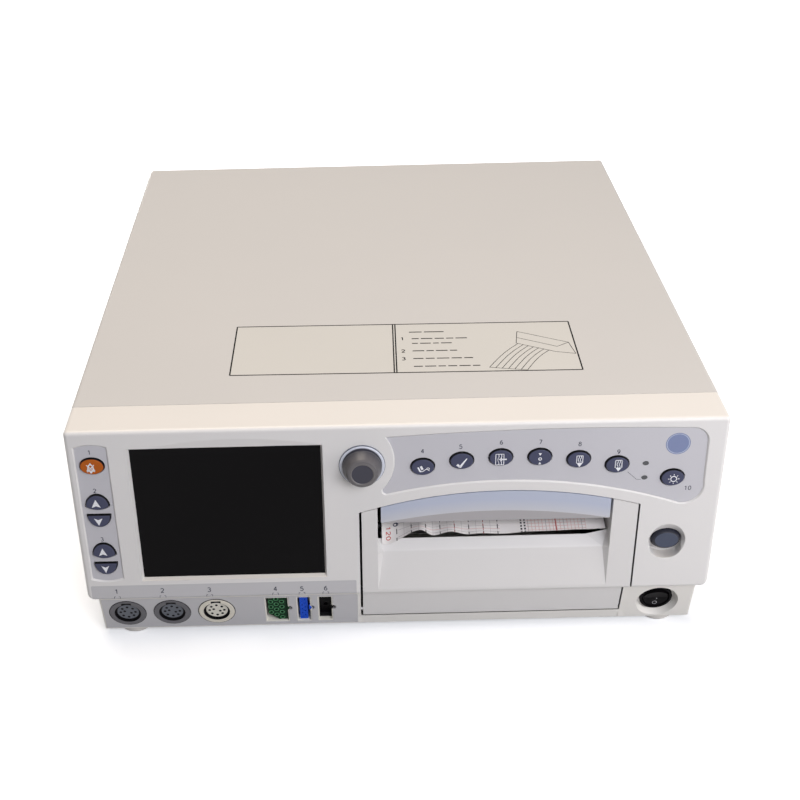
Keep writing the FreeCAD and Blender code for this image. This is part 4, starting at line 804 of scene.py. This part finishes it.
def tick():
    """A tick drawn with a broad pen that narrows to its far end."""
    return [ribbon([(-3.0, -2.2), (-1.0, -4.3)], 1.5),
            ribbon([(-1.25, -4.5), (0.6, -1.6), (3.2, 2.1)], (1.5, 1.2, 0.7))]


def chart(left, right, top, bottom):
    """A strip of chart: a frame and two wavy traces down it."""
    v = np.linspace(top, bottom, 20)
    third = (right - left) / 3
    swing = 0.35 * np.sin(np.linspace(0, 9, 20))
    frame_line = strokes([(left, bottom), (left, top), (right, top), (right, bottom)], 0.45)
    return frame_line + [ribbon(np.stack([left + third * k + swing, v], axis=1), 0.4) for k in (1, 2)]


def pointer_down(u, top, tip, half):
    """A solid triangle pointing down."""
    return sheet([(u - half, top), (u + half, top)], [(u - 0.04, tip), (u + 0.04, tip)])


def mark_symbol():
    """A chart strip with an arrow pointing into it from the right."""
    shaft = ribbon([(3.7, -0.9), (0.4, -0.9)], 1.0)
    head = sheet([(0.6, 0.5), (0.6, -2.3)], [(-1.5, -0.86), (-1.5, -0.94)])
    return chart(-3.4, 1.8, 3.0, -4.9) + [ribbon([(-3.4, -4.9), (1.8, -4.9)], 0.45), shaft, head]


def reference_symbol():
    """Two small triangles pointing at a small ring between them."""
    return [pointer_down(-0.1, 3.4, 1.6, 1.1), ring(0.0, -0.9, 0.9, 0.6),
            sheet([(-0.14, -3.2), (-0.06, -3.2)], [(-1.2, -5.0), (1.0, -5.0)])]


def advance_symbol():
    """A narrow chart strip that ends in an arrow."""
    return chart(-1.5, 2.4, 3.1, -2.4) + [pointer_down(0.5, -2.2, -5.2, 1.9)]


def record_symbol():
    """A chart strip with a heavier frame that ends in an arrow."""
    heavy = strokes([(-1.4, -1.9), (-1.4, 3.6), (2.8, 3.6), (2.8, -1.9)], 0.7)
    return chart(-1.4, 2.8, 3.6, -1.9) + heavy + [pointer_down(0.8, -1.8, -4.6, 2.0)]


def lamp_symbol():
    """A ring with eight rays, an eighth of a turn apart."""
    ways = [np.array([math.cos(a), math.sin(a)]) for a in np.arange(8) * math.pi / 4]
    return [ring(0, 0, 1.9, 0.6, 40)] + [ribbon([2.7 * way, 3.7 * way], 0.5) for way in ways]


print("seven pictures drawn")

# %% [markdown]
# ## Symbols onto their keys
# Six of the oval keys stand on a wide arc, in even steps. Their places could be listed, but the arc's
# radius and top give the heights, and a change to either moves the whole row. The seventh key stands apart.

# %% Symbols onto their keys
FIRST_KEY, KEY_STEP = 16.4, 25.0              # place across of the first key, and the step to the next
KEY_ARC, ARC_U, ARC_V = 300.0, 75.0, 105.6    # the arc's radius, and the place of its top
LIGHT_KEY = (178.7, 86.7)


def key_place(i):
    """Middle of a function key: even steps across, at the height of a circle of radius KEY_ARC there."""
    u = FIRST_KEY + KEY_STEP * i
    return u, ARC_V - KEY_ARC + math.sqrt(KEY_ARC ** 2 - (u - ARC_U) ** 2)


symbols = [cuff(), tick(), mark_symbol(), reference_symbol(), advance_symbol(), record_symbol()]
for i, symbol in enumerate(symbols):
    key = "function_key_%d" % (i + 1)
    key_print(key.replace("key", "symbol"), shift(symbol, *key_place(i)), key)
key_print("light_symbol", shift(lamp_symbol(), *LIGHT_KEY), "light_key")

# %% [markdown]
# ## Socket numbers
# Numbers stand over the sockets on the lip's film, with a small bracket under each, as leads and sockets
# are often matched. They are drawn as the key numbers are, a little larger.

# %% Socket numbers
SOCKET_NUMBER, SOCKET_PEN, BRACKET_PEN = 3.6, 0.6, 0.35
socket_places = [(-190.6, 6.4), (-159.6, 6.4), (-127.8, 6.2), (-83.0, 5.6), (-65.0, 5.2), (-48.8, 5.2)]
socket_numbers = []
for i, (u, v) in enumerate(socket_places, 1):
    socket_numbers += number_at(i, u, v, SOCKET_NUMBER, SOCKET_PEN)
    socket_numbers += strokes([(u - 2.0, 0.5), (u - 2.0, 2.0), (u - 1.0, 2.0)], BRACKET_PEN)
    socket_numbers += strokes([(u + 1.0, 2.0), (u + 2.0, 2.0), (u + 2.0, 0.5)], BRACKET_PEN)
print_on("socket_numbers", on_fascia, INK, socket_numbers, grey_ink, "case")

# %% [markdown]
# ## Round sockets
# The round sockets have dark contact holes, a dark well and a thin dark outline. The holes and the well are
# painted shade: black discs and rings where they are dark. Bored holes would look the same from the front,
# but flat discs and rings need far fewer faces.

# %% Round sockets
CONTACT_CIRCLE, CONTACT = 5.1, 0.95           # radius of the circle of contacts, and of each one
OUTLINE, OUTLINE_PEN = 12.75, 0.4
WELL, WELL_PEN = 8.35, 1.4
INSERT_FACE = -0.8                            # front of the inserts, from the panel's face
WELL_FACE = -0.85
spots = np.concatenate([arc(0, 0, CONTACT_CIRCLE, CONTACT_CIRCLE, 0, 315, 8), [(-2.2, 0.9), (2.2, -0.9)]])
# Painted shade: black discs and rings where the contact holes and each well are dark.
contact_hole_shades = [disc(u + a, SOCKET_V + b, CONTACT) for u in ROUND_SOCKETS for a, b in spots]
outlines = [ring(u, SOCKET_V, OUTLINE, OUTLINE_PEN, 64) for u in ROUND_SOCKETS]
well_shades = [ring(u, SOCKET_V, WELL, WELL_PEN, 64) for u in ROUND_SOCKETS]
print_on("round_contact_shade", on_lower, INSERT_FACE + INK, contact_hole_shades, black_ink, "case")
print_on("round_outlines", on_lower, INK, outlines, black_ink, "case")
print_on("round_well_shade", on_lower, WELL_FACE, well_shades, black_ink, "case")

# %% [markdown]
# ## Contact blocks
# The green block has a pale ring moulded round each contact, in three uneven columns. Each rectangular
# socket has a small round retention tab at its right edge, which is thick enough to need a shape, where a
# print would look flat.

# %% Contact blocks
RING_STEP = 5.6                               # from one row of rings to the next
BLOCK_FACE = -1.5                             # front of the green block, from the panel's face
TAB_V, TAB_WIDE, TAB_HIGH = -13.7, 1.9, 2.1
pale_green = finish("pale_green", (84, 170, 110), 0.36, 2400.0, 0.04, 0.05)
# Place across of a column, the height of its top ring, and its rows
columns = ((-87.5, -8.0, 3), (-83.7, -5.1, 4), (-79.9, -8.0, 4))
contact_rings = [ring(u, top - RING_STEP * row, 1.5, 0.4, 32)
                 for u, top, rows in columns for row in range(rows)]
print_on("contact_rings", on_lower, BLOCK_FACE + INK, contact_rings, pale_green, "case")


def tab(name, u, material):
    """Half a round peg: half rings of points at its foot, rim and face, the face closing on its middle."""
    angle = np.linspace(-math.pi / 2, math.pi / 2, 17)
    radius = np.array([1.0, 1.0, 0.8, 0.0])[:, None]
    w = np.array([-3.0, -0.5, -0.1, -0.1])[:, None]
    points = on_lower(u + TAB_WIDE * radius * np.cos(angle), TAB_V + TAB_HIGH * radius * np.sin(angle), w)
    add_piece(name, points.reshape(-1, 3), quads(4, 17, 0), material, "case")
    print(name, len(angle), "points round its rim")


tab("green_tab", -76.3, green_plastic)
tab("blue_tab", -61.1, blue_plastic)
tab("black_tab", -45.9, black_plastic)

# %% [markdown]
# ## Latch spring
# The latch rests on a small coil spring inside the case, which gets shorter as the latch is pushed down. A
# curve with a bevel could draw it. Here a grid of points does: a round wire is carried along a helix, and
# its two ends close on a point.

# %% Latch spring
SPRING_U, SPRING_LOW, SPRING_HIGH, SPRING_W = 179.35, 8.05, 25.09, -18.0
COIL, WIRE, TURNS, TRAVEL = 2.8, 0.45, 7, 5.0
STEPS_A_TURN, WIRE_SIDES = 24, 12
length = SPRING_HIGH - SPRING_LOW


def spring_points(steps, sides):
    """Helix of radius COIL along the latch's travel, with a circle of radius WIRE round each point."""
    turn = np.linspace(0, 2 * math.pi * TURNS, steps)
    turn = np.concatenate([turn[:1], turn, turn[-1:]])[:, None]
    wire = np.full(len(turn), WIRE)
    wire[[0, -1]] = 0.0
    round_wire = np.linspace(0, 2 * math.pi, sides, endpoint=False)[None, :]
    radius = COIL + wire[:, None] * np.cos(round_wire)
    up = SPRING_LOW + WIRE + (length - 2 * WIRE) * turn / turn.max() + wire[:, None] * np.sin(round_wire)
    return on_fascia(SPRING_U + radius * np.cos(turn), up, SPRING_W + radius * np.sin(turn))


def tube_quads(rows, columns):
    """Corner numbers of every cell in a grid whose last column joins its first."""
    index = np.arange(rows * columns).reshape(rows, columns)
    after = np.roll(index, -1, axis=1)
    return np.stack([index[:-1], index[1:], after[1:], after[:-1]], axis=-1).reshape(-1, 4)


points = spring_points(STEPS_A_TURN * TURNS + 1, WIRE_SIDES)
spring = add_piece("latch_coil", points.reshape(-1, 3), tube_quads(*points.shape[:2]), screw_steel, "case")
work = bmesh.new()
work.from_mesh(spring.data)
bmesh.ops.remove_doubles(work, verts=work.verts, dist=1e-7)
bmesh.ops.recalc_face_normals(work, faces=work.faces)
work.to_mesh(spring.data)
work.free()
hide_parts("latch_spring")
tuple(on_fascia(SPRING_U, SPRING_LOW, SPRING_W).tolist())
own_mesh(spring)
print("spring keeps", round((length - TRAVEL) / length, 3), "of its length")

# %% [markdown]
# ## Rocker marks
# The rocker has the usual ring and bar. They could be cut into the cap, but at this size a print is enough.
# It lies on the pressed half and rides on the rocker, so it tips with it.

# %% Rocker marks
CAP_FACE = -3.83     # the pressed half of the cap, from the panel's face
pale_ink = finish("pale_ink", (176, 176, 180), 0.45, 3000.0, 0.02, 0.02)
rocker_marks = [ring(180.3, -21.4, 1.45, 0.4, 40), ribbon([(181.2, -17.6), (181.2, -16.6)], 0.5)]
print_on("rocker_marks", on_lower, CAP_FACE + INK, rocker_marks, pale_ink, "rocker")

# %% [markdown]
# ## Cover label
# A cream film on the cover, stuck on slightly askew. It could be turned as an object, but then its print
# would have to be turned with it. Here a drawing board of its own is turned by a small angle, which turns
# all that is drawn on it.

# %% Label film
LABEL_MIDDLE = (9.3, 106.0)
LABEL_TURN = math.radians(-0.72)
LEFT, RIGHT, NEAR, BACK = -109.6, 128.2, 72.6, 139.4     # the label's edges, across and back from the lip


def on_label(u, v, w):
    """Point on the label: a small turn about its middle, on the flat top."""
    du, dv = u - LABEL_MIDDLE[0], v - LABEL_MIDDLE[1]
    return on_top(LABEL_MIDDLE[0] + du * math.cos(LABEL_TURN) - dv * math.sin(LABEL_TURN),
                  LABEL_MIDDLE[1] + du * math.sin(LABEL_TURN) + dv * math.cos(LABEL_TURN), w)


label_film = finish("label_film", (209, 206, 200), 0.4, 3000.0, 0.02, 0.03)
label_sheet = sheet([(LEFT, BACK), (RIGHT, BACK)], [(LEFT, NEAR), (RIGHT, NEAR)])
print_on("cover_label", on_label, INK, [label_sheet], label_film, "case")

# %% [markdown]
# ## Label drawing
# The label has a thin frame and a double line across it. The left field is bare. The right one has plain
# numbers, rows of dashes of a few lengths with even gaps, and a simple drawing of a sheet leaving a slot:
# straight strokes for the slot, and for the sheet seven lines that bow by half a sine wave. All of it is
# one mesh, since it never moves apart.

# %% Label drawing
FRAME_PEN, DIVIDER_PEN, DRAWING_PEN = 1.0, 0.9, 0.45
DASH_PEN, DASH_GAP = 1.1, 1.6
STEP_NUMBER, STEP_PEN = 4.0, 0.7
BOW = 2.5


def dashes(u, v, end, lengths):
    """A row of dashes from u to end, taking the lengths in turn, with a gap after each."""
    row, k = [], 0
    while u + lengths[k] <= end:
        row.append(ribbon([(u, v), (u + lengths[k], v)], DASH_PEN))
        u += lengths[k] + DASH_GAP
        k = (k + 1) % len(lengths)
    return row


label_print = strokes([(LEFT, NEAR), (RIGHT, NEAR), (RIGHT, BACK), (LEFT, BACK), (LEFT, NEAR)], FRAME_PEN)
label_print += [ribbon([(u, NEAR), (u + 0.6, BACK)], DIVIDER_PEN) for u in (1.5, 3.2)]
for number, v in ((1, 118.4), (2, 101.2), (3, 90.8)):
    label_print += number_at(number, 8.4, v, STEP_NUMBER, STEP_PEN)
# Start across, height, end across and the lengths of the dashes
for row in ((13.5, 127.6, 42.0, (9.0, 14.0)), (15.0, 118.2, 61.0, (5.0, 8.0, 6.5)),
            (15.0, 111.6, 47.0, (4.0, 7.5)), (15.0, 101.2, 47.0, (8.0, 5.0)),
            (15.0, 90.8, 56.0, (7.0, 6.0, 8.5)), (15.0, 80.4, 65.0, (6.0, 7.5, 5.0))):
    label_print += dashes(*row)
slot_outline = [(90.0, 126.0), (124.0, 109.5), (126.8, 94.0), (113.5, 97.0), (87.6, 109.5), (90.0, 126.0)]
label_print += strokes(slot_outline, DRAWING_PEN)
label_print += strokes([(88.6, 117.5), (115.5, 104.0), (124.0, 109.5)], DRAWING_PEN)
fall = np.linspace(0, 1, 12)
bow = BOW * np.sin(np.pi * fall)
for k in range(7):
    across = 89.0 + 3.4 * k - (23.0 - 0.8 * k) * fall
    back = 109.0 - 1.6 * k - (31.5 - 0.9 * k) * fall + bow
    label_print.append(ribbon(np.stack([across, back], axis=1), DRAWING_PEN))
label_print += strokes([(66.0, 77.5), (91.2, 73.3)], DRAWING_PEN)
print_on("cover_label_print", on_label, 2 * INK, label_print, black_ink, "case")

# %% [markdown]
# ## Chart paper
# The strip rises behind the platen, turns over it and leaves the slot. Its free edge is creased: it hangs
# at the left, has a fold beside that, and waves a little further on. A cloth simulation could crease it,
# but a formula puts each crease where it is wanted. Every line along the paper follows the same path, and
# near the free edge its height is carried towards the crease's height there.

# %% Paper sheet
PAPER_LEFT, PAPER_RIGHT, PAPER_Z = -10.0, 139.2, 87.9
PAPER_LOW = 66.0                      # height of the strip's hidden end
PAPER_RISE = 15.9                     # straight run up from there
PLATEN_TURN, PLATEN_BACK = 6.0, 25.4  # the quarter turn's radius, and its middle measured back from the lip
FREE_BACK, FREE_FRONT = 25.0, 9.0     # the free part of the sheet, measured the same way
EASE = 1.3                            # how late the free part leaves the level
THICKNESS = 0.0002                    # metres
crease_x = np.array([-10.0, -7.4, 15.7, 24.3, 35.9, 47.4, 56.0, 69.0, 92.2, 127.0, 139.3])
crease_z = np.array([75.9, 75.2, 87.0, 82.0, 84.9, 82.2, 82.8, 82.0, 83.5, 84.3, 84.6])
QUARTER = PLATEN_TURN * math.pi / 2
PAPER_END = PAPER_RISE + QUARTER + PLATEN_BACK - FREE_FRONT


def free_edge(x):
    """Height of the free edge: from crease to crease by the smooth step 3t^2 - 2t^3."""
    i = np.clip(np.searchsorted(crease_x, x) - 1, 0, len(crease_x) - 2)
    t = (x - crease_x[i]) / (crease_x[i + 1] - crease_x[i])
    return crease_z[i] + (crease_z[i + 1] - crease_z[i]) * t * t * (3 - 2 * t)


def on_paper(x, along, lift):
    """Sheet at x and along its path: straight up, a quarter turn, then level and eased to the free edge."""
    turn = np.clip(along - PAPER_RISE, 0, QUARTER) / PLATEN_TURN
    level = np.clip(along - PAPER_RISE - QUARTER, 0, None)
    y = PLATEN_BACK + PLATEN_TURN * np.cos(turn) - level
    z = PAPER_LOW + np.clip(along, 0, PAPER_RISE) + PLATEN_TURN * np.sin(turn)
    free = np.clip((FREE_BACK - y) / (FREE_BACK - FREE_FRONT), 0, 1)
    return stack(x, LIP_Y + y, z + (free_edge(x) - PAPER_Z) * free ** EASE + lift)


paper_x, paper_along = np.meshgrid(np.linspace(PAPER_LEFT, PAPER_RIGHT, 200), np.linspace(0, PAPER_END, 90))
paper_faces = quads(*paper_x.shape, 0)
paper_points = on_paper(paper_x, paper_along, 0.0).reshape(-1, 3)
paper = add_piece("chart_paper", paper_points, paper_faces, None, "door")
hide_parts("paper_strip")
chart_map = paper.data.uv_layers.new(name="chart")
flat = np.stack([paper_x, PAPER_END - paper_along], axis=-1).reshape(-1, 2)
chart_map.data.foreach_set("uv", flat[paper_faces].ravel())
thick = paper.modifiers.new("thickness", "SOLIDIFY")
thick.thickness = THICKNESS
thick.offset = -1.0
print("paper", len(paper_faces), "faces")

# %% [markdown]
# ## One set of chart lines
# The chart is printed by a shader, because hundreds of thin strokes would make a heavy mesh. One set of
# lines needs a measure to count along, a pitch and a width; the distance to the nearest line is a triangle
# wave, which the ping-pong node gives. The same wave along the line cuts it to dashes.

# %% Ruling group
INKED = 0.3     # half the share of a dash's pitch that is inked


def make_ruling():
    """Ink where a triangle wave of the measure is under half the width, within bounds, and cut to dashes."""
    names = ("Measure", "Other", "Bounded", "Pitch", "Offset", "Width", "From", "To", "Dash")
    ins = dict(Under=COLOUR, Over=COLOUR, **dict.fromkeys(names, VALUE))
    tree, given, result = new_group("Ruling", ins, dict(Colour=COLOUR))
    measure, other, bounded, pitch, offset, width, low, high, dash = [given[n] for n in names]

    def sum_of(operation, first, second):
        """One step of arithmetic in this group."""
        return calculate(tree, operation, first, second)

    distance = sum_of("PINGPONG", sum_of("SUBTRACT", measure, offset), sum_of("MULTIPLY", pitch, 0.5))
    line = sum_of("LESS_THAN", distance, sum_of("MULTIPLY", width, 0.5))
    inside = sum_of("MULTIPLY", sum_of("GREATER_THAN", bounded, low), sum_of("LESS_THAN", bounded, high))
    along = sum_of("PINGPONG", other, sum_of("MULTIPLY", dash, 0.5))
    cut = sum_of("LESS_THAN", along, sum_of("MULTIPLY", dash, INKED))
    mix_out(tree, sum_of("MULTIPLY", sum_of("MULTIPLY", line, inside), cut), given, result)
    return tree


RULING = make_ruling()
print("group", RULING.name, "has", len(RULING.nodes), "nodes")

# %% [markdown]
# ## Ruled paper
# The chart is ten sets of lines laid one over the other, each over what is under it, then grain. The
# sheet's own UV map is in millimetres, across and back from the free edge, so pitches and widths are in
# millimetres too.

# %% Ruled paper
SOLID = 1000.0     # a dash this long is never cut
PAPER_WHITE = (238, 234, 232)
PALE, ROSE, RED, DARK = (196, 190, 190), (222, 190, 186), (178, 70, 66), (52, 48, 52)
# Ink, counted across or along the sheet, pitch, offset, width, from x, to x, dash
rulings = [(PALE, "X", 4.82, 9.7, 0.25, 1.0, 69.0, SOLID), (PALE, "Y", 4.0, 1.5, 0.3, 1.0, 69.0, SOLID),
           (ROSE, "Y", 8.0, 3.5, 0.35, 9.0, 69.0, SOLID), (DARK, "X", 9.65, 9.7, 0.6, -1.0, 69.0, 5.0),
           (RED, "X", 19.3, 9.7 + 9.65, 0.4, 30.0, 69.0, 3.0), (DARK, "X", 2.4, 83.4, 1.2, 82.6, 86.4, 2.2),
           (ROSE, "X", 2.4, 88.0, 0.4, 86.8, 126.5, SOLID), (ROSE, "Y", 2.4, 1.0, 0.4, 86.8, 126.5, SOLID),
           (PALE, "X", 12.0, 88.0, 0.5, 86.8, 126.5, SOLID),
           (RED, "X", 200.0, 106.6, 0.7, 86.8, 126.5, SOLID)]
chart_paper = finish("chart_paper", PAPER_WHITE, 0.7, 700.0, 0.15, 0.03)
tree = chart_paper.node_tree
grain = next(n for n in tree.nodes if n.type == "GROUP")
uv = node(tree, "UVMap")
uv.uv_map = "chart"
split = node(tree, "SeparateXYZ", uv.outputs["UV"]).outputs
last = linear(*PAPER_WHITE)
for ink, axis, pitch, offset, width, low, high, dash in rulings:
    rule = layer(tree, RULING, Under=last, Over=linear(*ink), Pitch=pitch, Offset=offset, Width=width,
                 From=low, To=high, Dash=dash, Measure=split[axis], Other=split["Y" if axis == "X" else "X"],
                 Bounded=split["X"])
    last = rule.outputs["Colour"]
tree.links.new(last, grain.inputs["Under"])
paper.data.materials.clear()
paper.data.materials.append(chart_paper)
print("ruled with", len(rulings), "sets of lines")

# %% [markdown]
# ## Chart numbers
# The hanging corner shows numbers of the chart's scale, turned a quarter so that they read along the sheet.
# The shader could hold them too, but strokes laid by the sheet's own function follow its creases by
# themselves.

# %% Numbers on the sheet
CHART_INK = 0.12     # mm that these prints stand above the sheet
red_ink = finish("red_ink", (196, 84, 78), 0.6, 3000.0, 0.02, 0.04)
navy_ink = finish("navy_ink", (62, 64, 92), 0.6, 3000.0, 0.02, 0.04)


def chart_number(number, u, back, height, pen):
    """A number that reads along the sheet: up becomes across, and right becomes along."""
    grids = number_at(number, 0, 0, height, pen)
    return [np.stack([grid[..., 1] + u, grid[..., 0] + (PAPER_END - back)], axis=-1) for grid in grids]


red_number = chart_number(120, -5.6, 5.0, 3.0, 0.45)
navy_numbers = chart_number(0, -0.6, 9.0, 3.2, 0.6) + chart_number(20, -5.2, 14.0, 3.0, 0.45)
print_on("chart_number_red", on_paper, CHART_INK, red_number, red_ink, "door")
print_on("chart_number_navy", on_paper, CHART_INK, navy_numbers, navy_ink, "door")
